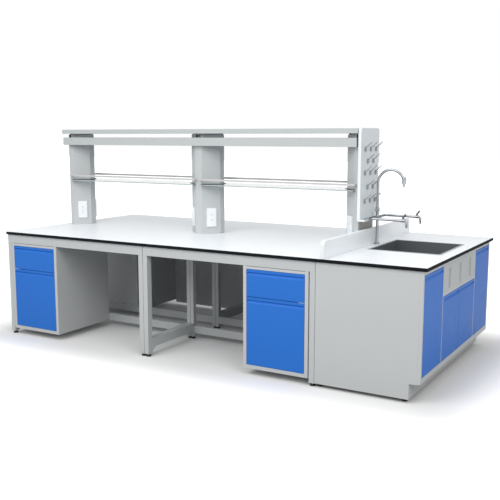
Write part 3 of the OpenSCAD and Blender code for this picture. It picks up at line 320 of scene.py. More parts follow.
@dataclass(frozen=True)
class Finish:
    """One finish: its colour, gloss and surface grain, and the record's slot it belongs to."""

    name: str
    slot: str
    colour: Colour
    roughness: float = 0.42
    shine: Shine = Shine.SOLID
    pitch: float = 900.0
    relief: float = 0.3
    depth: float = 0.0001
    tone: float = 0.03
    shift: float = 0.06
    stretch: Point = (1.0, 1.0, 1.0)
    coat: float = 0.0
    specular: float = 0.5
    smear: float = 0.05
    dust: float = 0.02

    def material(self) -> bpy.types.Material:
        """Builds the material, or returns the one already built.

        Returns:
            The procedural material of this finish.
        """
        if self.name in bpy.data.materials:
            return bpy.data.materials[self.name]
        material = bpy.data.materials.new(self.name)
        material.use_nodes = True
        material.diffuse_color = (*self.colour, 1.0)
        graph = Graph(material.node_tree)
        shader = material.node_tree.nodes["Principled BSDF"]
        fill(shader, {"Specular IOR Level": self.specular, "Coat Weight": self.coat,
                      "Coat Roughness": COAT_ROUGHNESS})
        if self.shine is Shine.METAL:
            fill(shader, {"Metallic": 1.0, "Specular Tint": METAL_TINT})
        if self.shine is Shine.GLASS:
            fill(shader, {"Transmission Weight": 1.0, "IOR": GLASS_IOR})
        grain = graph.node("ShaderNodeGroup", node_tree=grain_group())
        fill(grain, {
            "Pitch": self.pitch, "Relief": self.relief, "Tone": self.tone, "Roughness": self.roughness,
            "Roughness shift": self.shift, "Stretch": self.stretch, "Colour": (*self.colour, 1.0)})
        marks = graph.node("ShaderNodeGroup", node_tree=handling_group())
        fill(marks, {"Smear": self.smear, "Dust": self.dust})
        graph.link(grain.outputs["Colour"], marks.inputs["Colour"])
        graph.link(grain.outputs["Roughness"], marks.inputs["Roughness"])
        graph.link(marks.outputs["Colour"], shader.inputs["Base Color"])
        graph.link(marks.outputs["Roughness"], shader.inputs["Roughness"])
        bump = graph.node("ShaderNodeBump", {"Strength": 1.0, "Distance": self.depth})
        graph.link(grain.outputs["Height"], bump.inputs["Height"])
        graph.link(bump.outputs["Normal"], shader.inputs["Normal"])
        return material


@dataclass(frozen=True)
class Palette:
    """Every finish of the bench."""

    worktop: Finish = Finish("white resin", "worktop", srgb(238, 242, 246), 0.36, pitch=1400.0, tone=0.008,
                             smear=0.1, dust=0.01)
    band: Finish = Finish("black edge band", "edge_band", srgb(25, 28, 31), 0.7, pitch=1500.0, tone=0.08,
                          specular=0.04, smear=0.0)
    frame: Finish = Finish("grey powder coat", "frame_paint", srgb(196, 200, 201), pitch=1100.0,
                           tone=0.015, specular=0.4)
    foot: Finish = Finish("black rubber", "foot_rubber", srgb(34, 35, 36), 0.72, pitch=700.0, relief=0.8,
                          depth=0.0002, tone=0.2, dust=0.12)
    zinc: Finish = Finish("zinc plated steel", "zinc", srgb(180, 182, 184), 0.34, Shine.METAL, pitch=260.0,
                          tone=0.12, shift=0.2)
    casing: Finish = Finish("grey melamine", "casing_board", srgb(199, 202, 203), 0.44, pitch=1000.0,
                            tone=0.015, specular=0.35)
    front: Finish = Finish("blue melamine", "front_blue", srgb(46, 117, 210), 0.5, pitch=1000.0,
                           relief=0.25, tone=0.02, specular=0.18, dust=0.01)
    drawer: Finish = Finish("white melamine", "drawer_board", srgb(222, 222, 219), 0.44)
    unit: Finish = Finish("light grey melamine", "unit_board", srgb(199, 202, 202), 0.44, pitch=1000.0,
                          tone=0.015, specular=0.35)
    # painted shade: the unit board's grey made darker for the end panel, which lies in the worktop's shade
    louvre: Finish = Finish("louvre grey with painted shade", "unit_board", srgb(186, 191, 193), 0.44, tone=0.015,
                            specular=0.3)
    # painted shade: a dark sheet behind the louvre slots stands for the shade inside them
    slot_shade_sheet: Finish = Finish("painted louvre slot shade", "unit_board", srgb(92, 96, 98), 0.7, tone=0.1, specular=0.1)
    bowl: Finish = Finish("dark sink resin", "sink_resin", srgb(88, 93, 95), pitch=800.0, relief=0.6,
                          tone=0.08, dust=0.04)
    rim: Finish = Finish("grey rim resin", "rim_resin", srgb(152, 157, 159), 0.36, tone=0.05)
    upstand: Finish = Finish("pale resin", "upstand_board", srgb(240, 244, 247), 0.38, pitch=1300.0,
                             tone=0.012)
    column: Finish = Finish("column powder coat", "column_paint", srgb(192, 196, 197), 0.44, pitch=1100.0,
                            tone=0.015, specular=0.35)
    cover: Finish = Finish("warm cover coat", "cover_paint", srgb(170, 167, 162), 0.45)
    shelf: Finish = Finish("shelf powder coat", "shelf_paint", srgb(188, 193, 193), 0.44, pitch=1100.0,
                           tone=0.015, specular=0.35)
    glass: Finish = Finish("float glass", "glass", srgb(219, 227, 229), 0.02, Shine.GLASS, pitch=40.0,
                           relief=0.0, tone=0.01, shift=0.01, smear=0.02, dust=0.0)
    glass_edge: Finish = Finish("polished glass edge", "glass", srgb(164, 176, 178), 0.16, pitch=600.0,
                                tone=0.08, coat=0.6)
    clip: Finish = Finish("black profile", "clip_black", srgb(40, 43, 45), 0.36, tone=0.1)
    rail: Finish = Finish("satin aluminium", "rail_alu", srgb(194, 193, 194), 0.38, pitch=500.0,
                          relief=0.4, stretch=(0.04, 1.0, 1.0))
    outlet: Finish = Finish("white outlet plastic", "outlet_white", srgb(238, 241, 244), 0.26, tone=0.01,
                            coat=0.2)
    # painted shade in the outlet slots; the same dark also colours the knob's real index mark
    slot: Finish = Finish("painted slot shade and index mark", "outlet_white", srgb(44, 46, 48), 0.6, tone=0.05)
    board: Finish = Finish("pale polypropylene", "pegboard", srgb(231, 238, 241), 0.46, pitch=700.0,
                           relief=0.35, tone=0.02)
    peg: Finish = Finish("grey polypropylene", "peg_grey", srgb(150, 155, 158), 0.44, tone=0.06)
    chrome: Finish = Finish("satin chrome", "tap_chrome", srgb(152, 156, 160), 0.28, Shine.METAL,
                            pitch=300.0, relief=0.05, tone=0.04, smear=0.06)
    lever: Finish = Finish("dark lever metal", "lever_grey", srgb(104, 109, 113), 0.3, Shine.METAL,
                           tone=0.06)


class Shell:
    """Grids of points that together make one mesh."""

    def __init__(self, name: str) -> None:
        """Starts an empty shell.

        Args:
            name: Name of the piece to come.
        """
        self.name = name
        self.points: list[Array] = []
        self.faces: list[list[int]] = []
        self.marks: list[int] = []
        self.count = 0

    def grid(self, points: Array, around: bool = True, along: bool = False, caps: bool = True,
             mark: int = 0) -> "Shell":
        """Adds a grid of points, row after row, as quads.

        Point (i, j) is joined to (i, j + 1), (i + 1, j + 1) and (i + 1, j).

        Args:
            points: Array of rows, columns and coordinates.
            around: Whether the columns close on themselves.
            along: Whether the rows close on themselves.
            caps: Whether the first and the last row are filled.
            mark: Material index of the faces.

        Returns:
            This shell.
        """
        rows, cols = points.shape[:2]
        index = np.arange(rows * cols).reshape(rows, cols) + self.count
        if around:
            index = np.concatenate([index, index[:, :1]], axis=1)
        if along:
            index = np.concatenate([index, index[:1]], axis=0)
        quads = np.stack([index[:-1, :-1], index[:-1, 1:], index[1:, 1:], index[1:, :-1]], axis=-1)
        made = quads.reshape(-1, 4).tolist()
        if caps and around and not along:
            made.append(index[0, :-1][::-1].tolist())
            made.append(index[-1, :-1].tolist())
        self.faces += made
        self.marks += [mark] * len(made)
        self.points.append(points.reshape(-1, 3))
        self.count += rows * cols
        return self

    def piece(self) -> bpy.types.Object:
        """Makes the mesh object, with doubles merged and faces turned outwards.

        Returns:
            The object, at the origin.
        """
        mesh = bpy.data.meshes.new(self.name)
        mesh.from_pydata(np.concatenate(self.points).tolist(), [], self.faces)
        mesh.polygons.foreach_set("material_index", np.array(self.marks, dtype=np.int32))
        work = bmesh.new()
        work.from_mesh(mesh)
        bmesh.ops.remove_doubles(work, verts=work.verts, dist=WELD_OWN)
        bmesh.ops.recalc_face_normals(work, faces=work.faces)
        work.to_mesh(mesh)
        work.free()
        return placed(self.name, mesh)


def placed(name: str, mesh: bpy.types.Mesh) -> bpy.types.Object:
    """Puts a mesh into the scene with smooth faces and sharp edges by angle.

    Args:
        name: Name of the object.
        mesh: Its mesh.

    Returns:
        The object, at the origin.
    """
    mesh.polygons.foreach_set("use_smooth", np.ones(len(mesh.polygons), dtype=bool))
    mesh.set_sharp_from_angle(angle=math.radians(SMOOTH_UNDER))
    made = bpy.data.objects.new(name, mesh)
    bpy.context.scene.collection.objects.link(made)
    return made


def circle(radius: float, sides: int, start: float = 0.0) -> Array:
    """Points on a circle: radius times cosine and sine of equal steps from the start angle."""
    angle = start + 2 * math.pi * np.arange(sides) / sides
    return radius * np.stack([np.cos(angle), np.sin(angle)], axis=-1)


def quarter(steps: int) -> Array:
    """Angles of a quarter circle in equal steps."""
    return np.linspace(0.0, math.pi / 2, steps + 1)


def rounded_outline(width: float, depth: float, radius: float, steps: int) -> Array:
    """Rounded rectangle: four quarter circles round the inset corners.

    Args:
        width: Size along the first axis.
        depth: Size along the second axis.
        radius: Corner radius.
        steps: Points in a corner, less one.

    Returns:
        Array of points, anticlockwise.
    """
    angle = quarter(steps)
    arcs = []
    for turn, (sx, sy) in enumerate(((1, 1), (-1, 1), (-1, -1), (1, -1))):
        centre = np.array([sx * (width / 2 - radius), sy * (depth / 2 - radius)])
        here = angle + turn * math.pi / 2
        arcs.append(centre + radius * np.stack([np.cos(here), np.sin(here)], axis=-1))
    return np.concatenate(arcs)


def turned(profile: Rings, at: Point, axis: Axis = Axis.Z, sides: int = 40, flip: bool = False,
           ripple: float = 0.0, lobes: int = 0) -> Array:
    """Surface of revolution: each profile point's radius is carried round the axis.

    The radius is swollen by one plus the ripple times the cosine of the lobes times the angle.

    Args:
        profile: Radius and height of each ring.
        at: Where height zero lies.
        axis: Axis of the turning.
        sides: Points in a ring.
        flip: Whether the height runs against the axis.
        ripple: Share by which the radius swings round the ring.
        lobes: Swings in a ring.

    Returns:
        Grid of points.
    """
    radius, height = np.array(profile, dtype=float).T
    angle = 2 * math.pi * np.arange(sides) / sides
    swell = 1.0 + ripple * np.cos(lobes * angle)
    along = np.broadcast_to((-height if flip else height)[:, None], (len(radius), sides))
    first = radius[:, None] * np.cos(angle) * swell
    second = radius[:, None] * np.sin(angle) * swell
    order = {Axis.Z: (first, second, along), Axis.X: (along, first, second), Axis.Y: (second, along, first)}
    return np.stack(order[axis], axis=-1) + np.array(at)


def tube(path: Array, radii: Array | float, normal: Point, sides: int) -> Array:
    """Carries a circle along a path that lies in a plane.

    The tangent is the path's gradient, the second axis is the plane's normal and the third is their
    cross product, so no frame twists.

    Args:
        path: Points of the path.
        radii: Radius at each point, or one for all.
        normal: Normal of the plane.
        sides: Points in a ring.

    Returns:
        Grid of points.
    """
    tangent = np.gradient(path, axis=0)
    tangent /= np.linalg.norm(tangent, axis=1, keepdims=True)
    across = np.array(normal, dtype=float)
    third = np.cross(tangent, across)
    third /= np.linalg.norm(third, axis=1, keepdims=True)
    ring = circle(1.0, sides)
    size = np.broadcast_to(np.asarray(radii, dtype=float), (len(path),))[:, None, None]
    swept = ring[None, :, :1] * third[:, None, :] + ring[None, :, 1:] * across
    return path[:, None, :] + size * swept


def domed(way: Array, radii: Array, steps: int) -> tuple[Array, Array]:
    """Closes a rod's end with a dome, whose radius is the rod's last one.

    Past the end the way grows with the sine of a quarter circle and the radius falls with its cosine.

    Args:
        way: Distances along the rod.
        radii: Radius at each.
        steps: Steps in the dome.

    Returns:
        Distances and radii with those of the dome.
    """
    end, angle = radii[-1], quarter(steps)[1:]
    dome = np.maximum(end * np.cos(angle), DOME_END)
    return np.concatenate([way, way[-1] + end * np.sin(angle)]), np.concatenate([radii, dome])


def arc_path(centre: Point, radius: float, first: Point, second: Point, sweep: float, steps: int) -> Array:
    """Arc of so many degrees: centre plus radius times cosine along one axis and sine along the other."""
    angle = np.radians(np.linspace(0, sweep, steps + 1))[:, None]
    return np.array(centre) + radius * (np.cos(angle) * np.array(first) + np.sin(angle) * np.array(second))


def bounds_of(node: str) -> tuple[Array, Array]:
    """Lowest and highest corner of a CAD node."""
    low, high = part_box(node)
    return np.array(low), np.array(high)


def eased_block(low: Sequence[float], high: Sequence[float], ease: float, corner: float = 0.0,
                steps: int = 3) -> Array:
    """Block with rounded edges, as rounded outlines stacked along Z.

    The outline's inset follows a quarter circle over the ease at the bottom and at the top.

    Args:
        low: Lowest corner.
        high: Highest corner.
        ease: Radius of the horizontal edges.
        corner: Radius of the upright edges, or zero for the same as the ease.
        steps: Steps in a quarter circle.

    Returns:
        Grid of points.
    """
    low, high = np.array(low, float), np.array(high, float)
    size, centre = high - low, (low + high) / 2
    corner = max(corner, ease)
    angle = quarter(steps)
    inset = ease * (1 - np.sin(angle))
    lift = ease * (1 - np.cos(angle))
    levels = np.concatenate([low[2] + lift, high[2] - lift[::-1]])
    insets = np.concatenate([inset, inset[::-1]])
    rows = [
        np.column_stack([
            rounded_outline(size[0] - 2 * i, size[1] - 2 * i, max(corner - i, 1e-5), steps) + centre[:2],
            np.full(4 * (steps + 1), z),
        ])
        for i, z in zip(insets, levels)
    ]
    return np.stack(rows)


def eased_copy(frame: dict, node: str, ease: float, segments: int = 2, name: str = "",
               mirrored: bool = False) -> bpy.types.Object:
    """Copy of a CAD node's mesh with its sharp edges eased.

    The copy's loose triangles are merged, flat regions are joined into single faces, and a Bevel
    modifier rounds every edge that is sharper than the smoothing angle. Upright faces get the second
    material index.

    Args:
        frame: The loaded frame.
        node: Name of the CAD node.
        ease: Width of the rounding.
        segments: Segments of the rounding.
        name: Name of the copy, or empty for one from the node.
        mirrored: Whether the copy is mirrored across the bench's middle.

    Returns:
        The new piece.
    """
    mesh = frame["nodes"][node].data.copy()
    work = bmesh.new()
    work.from_mesh(mesh)
    bmesh.ops.remove_doubles(work, verts=work.verts, dist=WELD_CAD)
    bmesh.ops.dissolve_limit(work, angle_limit=math.radians(FLAT_UNDER), verts=work.verts, edges=work.edges)
    if mirrored:
        bmesh.ops.scale(work, vec=(1.0, -1.0, 1.0), verts=work.verts)
        bmesh.ops.reverse_faces(work, faces=work.faces)
    work.to_mesh(mesh)
    work.free()
    normals = np.empty(len(mesh.polygons) * 3)
    mesh.polygons.foreach_get("normal", normals)
    mesh.polygons.foreach_set("material_index", (np.abs(normals[2::3]) < 0.5).astype(np.int32))
    made = placed(name or "dressed_" + node, mesh)
    rounding = made.modifiers.new("eased edges", "BEVEL")
    rounding.width = ease
    rounding.segments = segments
    rounding.limit_method = "ANGLE"
    rounding.angle_limit = math.radians(SMOOTH_UNDER)
    rounding.harden_normals = True
    rounding.use_clamp_overlap = True
    return made


@dataclass
class Workshop:
    """What every sub-assembly needs: the frame and the finishes."""

    frame: dict
    paint: Palette = field(default_factory=Palette)
    bodies: dict[str, str] = field(default_factory=dict)

    def __post_init__(self) -> None:
        """Notes the body of each CAD node."""
        for body, members in self.frame["record"]["behaviour"]["bodies"].items():
            self.bodies.update({node: body for node in members})

    def dress(self, piece: bpy.types.Object, node: str, *finishes: Finish) -> None:
        """Gives a piece its finishes and puts it in place of a CAD node, on that node's body.

        Args:
            piece: The new piece.
            node: Name of the CAD node that it replaces.
            finishes: Its finishes, by material index.
        """
        marks = np.zeros(len(piece.data.polygons), dtype=np.int32)
        piece.data.polygons.foreach_get("material_index", marks)
        piece.data.materials.clear()
        for finish in finishes:
            piece.data.materials.append(finish.material())
        piece.data.polygons.foreach_set("material_index", marks)
        body = self.bodies[node]
        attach(piece, body)
        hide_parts(node)
        LOG.info("%s: %d faces on %s", piece.name, len(piece.data.polygons), body)

    def add(self, shell: Shell, node: str, *finishes: Finish) -> None:
        """Makes the piece of a shell in place of a CAD node."""
        self.dress(shell.piece(), node, *finishes)

    def ease(self, nodes: Iterable[str], finish: Finish, ease: float, segments: int = 2,
             upright: Finish | None = None) -> None:
        """Replaces CAD nodes by copies with eased edges.

        Args:
            nodes: Names of the nodes.
            finish: Their finish.
            ease: Width of the rounding.
            segments: Segments of the rounding.
            upright: Finish of the upright faces, where it is another one.
        """
        for node in nodes:
            self.dress(eased_copy(self.frame, node, ease, segments), node, finish, upright or finish)

    def joint(self, name: str) -> Array:
        """Position of a joint, as the record gives it."""
        return np.array(next(j["pos_m"] for j in self.frame["joints"] if j["name"] == name))


@dataclass
class Worktops:
    """Slabs, edge bands and the upstand."""

    shop: Workshop
    slab_ease: float = 0.5 * MM
    band_ease: float = 0.6 * MM
    upstand_ease: float = 2.0 * MM

    def build(self) -> None:
        """Dresses the slabs, bands and upstand."""
        paint = self.shop.paint
        self.shop.ease(["worktop_left", "worktop_middle", "worktop_sink"], paint.worktop, self.slab_ease)
        self.shop.ease(["edge_bands"], paint.band, self.band_ease)
        self.shop.ease(["upstand"], paint.upstand, self.upstand_ease, segments=3)


@dataclass
class Underframe:
    """Steel legs and rails, and the feet with their nuts.

    The pad is given as shares of its radius and height: an upright edge with a groove and a slightly
    domed top. The stud starts at a share of the pad's height, and its thread's root is a share of its
    radius.
    """

    shop: Workshop
    steel_ease: float = 1.6 * MM
    bar_ease: float = 0.4 * MM
    pad_height: float = 14 * MM
    pad_shares: Rings = ((0.95, 0.0), (0.99, 0.06), (1.0, 0.15), (1.0, 0.4), (0.975, 0.44), (0.975, 0.5),
                         (1.0, 0.54), (1.0, 0.82), (0.96, 0.93), (0.84, 1.0))
    hub: float = 0.4 * MM
    stud_radius: float = 5 * MM
    post_radius: float = 8 * MM
    post_from: float = 100 * MM
    thread_pitch: float = 2 * MM
    thread_root: float = 0.9
    stud_start: float = 0.9
    nut_hub: float = 1 * MM
    nut_radius: float = 9 * MM
    nut_height: float = 6 * MM

    def build(self) -> None:
        """Dresses the steel frame and builds the feet."""
        paint = self.shop.paint
        steel = ["outer_legs", "inner_legs", "side_rails", "side_stretchers", "apron_rails", "inner_rails"]
        self.shop.ease(steel, paint.frame, self.steel_ease, segments=3)
        self.shop.ease(["hanger_bars"], paint.zinc, self.bar_ease)
        self.feet()

    def feet(self) -> None:
        """Keeps the CAD feet's places and builds a grooved pad and a threaded stud at each.

        The bench's studs get a nut. The sink unit's longer ones are stouter posts without one.
        """
        low, high = self.islands("levelling_feet")
        pads, studs = Shell("foot_pads"), Shell("foot_studs")
        nut = [(self.nut_hub, 0.0), (self.nut_radius, 0.0), (self.nut_radius, self.nut_height),
               (self.nut_hub, self.nut_height)]
        for a, b in zip(low, high):
            x, y, top = (a[0] + b[0]) / 2, (a[1] + b[1]) / 2, float(b[2])
            pad = self.pad_profile((b[0] - a[0]) / 2)
            pads.grid(turned(pad, (x, y, 0.0), sides=48, ripple=0.006, lobes=16))
            radius = self.post_radius if top > self.post_from else self.stud_radius
            studs.grid(turned(self.stud_profile(radius, top), (x, y, 0.0), sides=20))
            if top < self.post_from:
                studs.grid(turned(nut, (x, y, self.pad_height), sides=6))
        self.shop.add(pads, "levelling_feet", self.shop.paint.foot)
        self.shop.add(studs, "levelling_feet", self.shop.paint.zinc)

    def islands(self, node: str) -> tuple[Array, Array]:
        """Lowest and highest corner of each separate solid of a CAD node.

        Args:
            node: Name of the node.

        Returns:
            Two arrays of corners.
        """
        work = bmesh.new()
        work.from_mesh(self.shop.frame["nodes"][node].data)
        bmesh.ops.remove_doubles(work, verts=work.verts, dist=WELD_CAD)
        seen, lows, highs = set(), [], []
        for first in work.verts:
            stack, solid = [first] if first not in seen else [], []
            seen.add(first)
            while stack:
                vertex = stack.pop()
                solid.append(tuple(vertex.co))
                others = {edge.other_vert(vertex) for edge in vertex.link_edges} - seen
                seen |= others
                stack += others
            if solid:
                lows.append(np.min(solid, axis=0))
                highs.append(np.max(solid, axis=0))
        work.free()
        return np.array(lows), np.array(highs)

    def pad_profile(self, radius: float) -> list[tuple[float, float]]:
        """Radius and height of each ring of a pad, from its shares."""
        rings = [(radius * r, self.pad_height * h) for r, h in self.pad_shares]
        return [(self.hub, 0.0), *rings, (self.hub, self.pad_height)]

    def stud_profile(self, radius: float, top: float) -> list[tuple[float, float]]:
        """Profile of a stud: for each turn of the thread, its crest between two roots.

        Args:
            radius: Outer radius.
            top: Height of its end.

        Returns:
            Radius and height of each ring.
        """
        low, root, pitch = self.pad_height * self.stud_start, radius * self.thread_root, self.thread_pitch
        rings = [(self.hub, low), (root, low)]
        for k in range(int((top - low) / pitch)):
            z = low + k * pitch
            rings += [(root, z + 0.2 * pitch), (radius, z + 0.5 * pitch), (root, z + 0.8 * pitch)]
        return rings + [(root, top), (self.hub, top)]


@dataclass(frozen=True)
class FrontBoard:
    """An eased board with a finger pull hollowed into its face.

    Across the height of the pull the depth is s (1 - s) squared times the full depth and the peak
    factor, where s runs from the pull's upper edge to its lower one. So it drops steeply under the
    lip and comes back to the face without an edge. It fades over a short length at both ends.
    """

    lip: float = 18 * MM
    tall: float = 24 * MM
    depth: float = 9 * MM
    peak: float = 6.75
    end: float = 4 * MM
    fade: float = 4 * MM
    ease: float = 1.2 * MM
    near: float = 0.4 * MM
    levels: int = 22
    spans: int = 6

    def grid(self, wide: float, thick: float, low: float, high: float) -> Array:
        """Surface of the board.

        Args:
            wide: Width.
            thick: Thickness.
            low: Height of the lower edge.
            high: Height of the upper edge.

        Returns:
            Grid of points along the width, into the board and upwards, level by level.
        """
        e, near = self.ease, self.near
        angle = quarter(3)
        curve = e * (1 - np.sin(angle))
        inset = np.concatenate([curve, np.zeros(self.levels + 2), curve[::-1]])
        pull = np.linspace(high - self.lip - self.tall, high - self.lip, self.levels)
        level = np.concatenate([
            low + e * (1 - np.cos(angle)), [low + e + near], pull, [high - e - near],
            high - e * (1 - np.cos(angle[::-1]))])
        s = np.clip((high - self.lip - level) / self.tall, 0.0, 1.0)
        sink = self.depth * self.peak * s * (1 - s) ** 2
        ends = np.array([e, e + near, self.end, self.end + self.fade / 2, self.end + self.fade])
        middle = np.linspace(ends[-1], wide - ends[-1], self.spans)[1:-1]
        across = np.concatenate([ends, middle, wide - ends[::-1]])
        share = np.clip((np.minimum(across, wide - across) - self.end) / self.fade, 0.0, 1.0)
        corners = [(wide - e, e, -90), (wide - e, thick - e, 0), (e, thick - e, 90), (e, e, 180)]
        turn = [np.radians(start) + angle[1:-1] for _, _, start in corners]
        rows = []
        for i, z, d in zip(inset, level, sink):
            face = np.column_stack([across, i + d * share * share * (3 - 2 * share)])
            arcs = [np.array([u, v]) + (e - i) * np.column_stack([np.cos(a), np.sin(a)])
                    for (u, v, _), a in zip(corners, turn)]
            side = [(wide - i, e), (wide - i, thick - e)], [(wide - e, thick - i), (e, thick - i)]
            rest = [arcs[0], side[0], arcs[1], side[1], arcs[2], [(i, thick - e), (i, e)], arcs[3]]
            loop = np.concatenate([face, *rest])
            rows.append(np.column_stack([loop, np.full(len(loop), z)]))
        return np.stack(rows)


@dataclass
class Cabinets:
    """Pedestals, sink unit and their fronts."""

    shop: Workshop
    board: FrontBoard = FrontBoard()
    thick: float = 20 * MM
    board_ease: float = 0.8 * MM
    fitting_ease: float = 0.3 * MM

    def build(self) -> None:
        """Dresses casings, fronts, drawers, doors and small fittings."""
        paint = self.shop.paint
        rows = ["pedestal_left", "pedestal_right"]
        casings = [side + row + "_casing" for side in ("", "back_") for row in rows]
        self.shop.ease([*casings, "back_cover_panels"], paint.casing, self.board_ease)
        for row in rows:
            self.front(row + "_door", Facing.FRONT)
            self.front(row + "_drawer_front", Facing.FRONT)
            self.front("back_" + row + "_door", Facing.BACK)
            back = "back_" + row + "_drawer"
            self.front(back, Facing.BACK)
            tray = eased_copy(self.shop.frame, row + "_drawer_box", self.board_ease, name=back + "_tray",
                              mirrored=True)
            self.shop.dress(tray, back, paint.drawer, paint.drawer)
            self.shop.ease([row + "_drawer_box"], paint.drawer, self.board_ease)
        for k in range(1, 5):
            self.front(f"sink_door_{k}", Facing.END)
        self.shop.ease(["drawer_runners", "door_pivots"], paint.zinc, self.fitting_ease)
        self.shop.ease(["sink_unit_carcass", "sink_unit_face_frame"], paint.unit, self.board_ease)

    def front(self, node: str, facing: Facing) -> None:
        """Builds the front of a door or drawer in place of the CAD one.

        Args:
            node: Name of the CAD node.
            facing: Side of the bench that it faces.
        """
        low, high = bounds_of(node)
        wide = high[1] - low[1] if facing is Facing.END else high[0] - low[0]
        u, v, z = np.moveaxis(self.board.grid(wide, self.thick, low[2], high[2]), -1, 0)
        places = {Facing.FRONT: (low[0] + u, low[1] + v, z), Facing.BACK: (low[0] + u, high[1] - v, z),
                  Facing.END: (high[0] - v, low[1] + u, z)}
        shell = Shell(node + "_board").grid(np.stack(places[facing], axis=-1))
        self.shop.add(shell, node, self.shop.paint.front)


@dataclass
class LouvrePanel:
    """Pressed sheet of the sink unit, with an eyelid over each slot and a dark strip of painted shade behind.
    """

    shop: Workshop
    node: str = "louvre_panel"
    sheet: float = 1.6 * MM
    sheet_ease: float = 0.3 * MM
    columns: int = 3
    span: float = 250 * MM
    count: int = 8
    pitch: float = 17 * MM
    length: float = 56 * MM
    drop: float = 2.6 * MM
    out: float = 1.3 * MM
    over_slot: float = 4 * MM
    sunk: float = 0.2 * MM
    lid_thick: float = 0.8 * MM
    shade_sheet_half: float = 29 * MM
    shade_sheet_past: float = 6 * MM
    shade_sheet_behind: tuple[float, float] = (4.4 * MM, 3.4 * MM)
    shade_sheet_ease: float = 0.2 * MM

    def build(self) -> None:
        """Dresses the sheet and builds the eyelids and the dark strips of painted slot shade, column by
        column.
        """
        low, high = bounds_of(self.node)
        first = (low[2] + high[2]) / 2 - (self.count - 1) * self.pitch / 2
        self.pressed_sheet(high[0])
        lids, slot_shade_sheet = Shell("louvre_hoods"), Shell("louvre_slot_shade_sheets")
        for column in np.arange(self.columns) - (self.columns - 1) / 2:
            y = (low[1] + high[1]) / 2 + column * self.span
            slot_shade_sheet.grid(self.backing(high[0], y, first))
            for k in range(self.count):
                lid = self.eyelid(high[0], y, first + k * self.pitch + self.over_slot)
                lids.grid(lid, around=False, along=True, caps=False)
        self.shop.add(lids, self.node, self.shop.paint.louvre)
        self.shop.add(slot_shade_sheet, self.node, self.shop.paint.slot_shade_sheet)

    def pressed_sheet(self, face: float) -> None:
        """The CAD panel's mesh with every point brought forward to the sheet's depth.

        Args:
            face: X of the panel's outer face.
        """
        sheet = eased_copy(self.shop.frame, self.node, self.sheet_ease)
        points = np.empty(len(sheet.data.vertices) * 3)
        sheet.data.vertices.foreach_get("co", points)
        points[0::3] = np.maximum(points[0::3], face - self.sheet)
        sheet.data.vertices.foreach_set("co", points)
        self.shop.dress(sheet, self.node, self.shop.paint.louvre, self.shop.paint.louvre)

    def backing(self, face: float, y: float, first: float) -> Array:
        """Dark strip behind one column of slots: painted shade that makes the slots read dark.

        Args:
            face: X of the panel's outer face.
            y: Middle of the column.
            first: Height of the lowest slot.

        Returns:
            Grid of points.
        """
        back, front = self.shade_sheet_behind
        low = first - self.shade_sheet_past
        high = low + (self.count - 1) * self.pitch + 2 * self.shade_sheet_past
        return eased_block((face - back, y - self.shade_sheet_half, low), (face - front, y + self.shade_sheet_half, high),
                           self.shade_sheet_ease, steps=1)

    def eyelid(self, face: float, y: float, top: float) -> Array:
        """Quarter of an ellipse swept along a slot.

        Its depth and thickness fall to nothing towards both ends, with the fourth root of one less
        the fourth power of the way from the middle.

        Args:
            face: X of the panel's outer face.
            y: Middle of the slot.
            top: Height of the eyelid's upper edge.

        Returns:
            Grid of points, over the outside and back over the inside.
        """
        angle = quarter(6)
        u = np.linspace(-1.0, 1.0, 25)
        end = np.sqrt(np.sqrt(np.clip(1 - u**4, 0.0, 1.0)))
        depth = self.out * np.sin(angle)[:, None] * end
        fall = np.broadcast_to(self.drop * (1 - np.cos(angle))[:, None], depth.shape)
        along = np.broadcast_to(u * self.length / 2, depth.shape)
        outer = np.stack([face + depth - self.sunk, y + along, top - fall], axis=-1)
        inner = outer - np.array([self.lid_thick, 0.0, 0.0]) * end[:, None]
        return np.concatenate([outer, inner[::-1]])


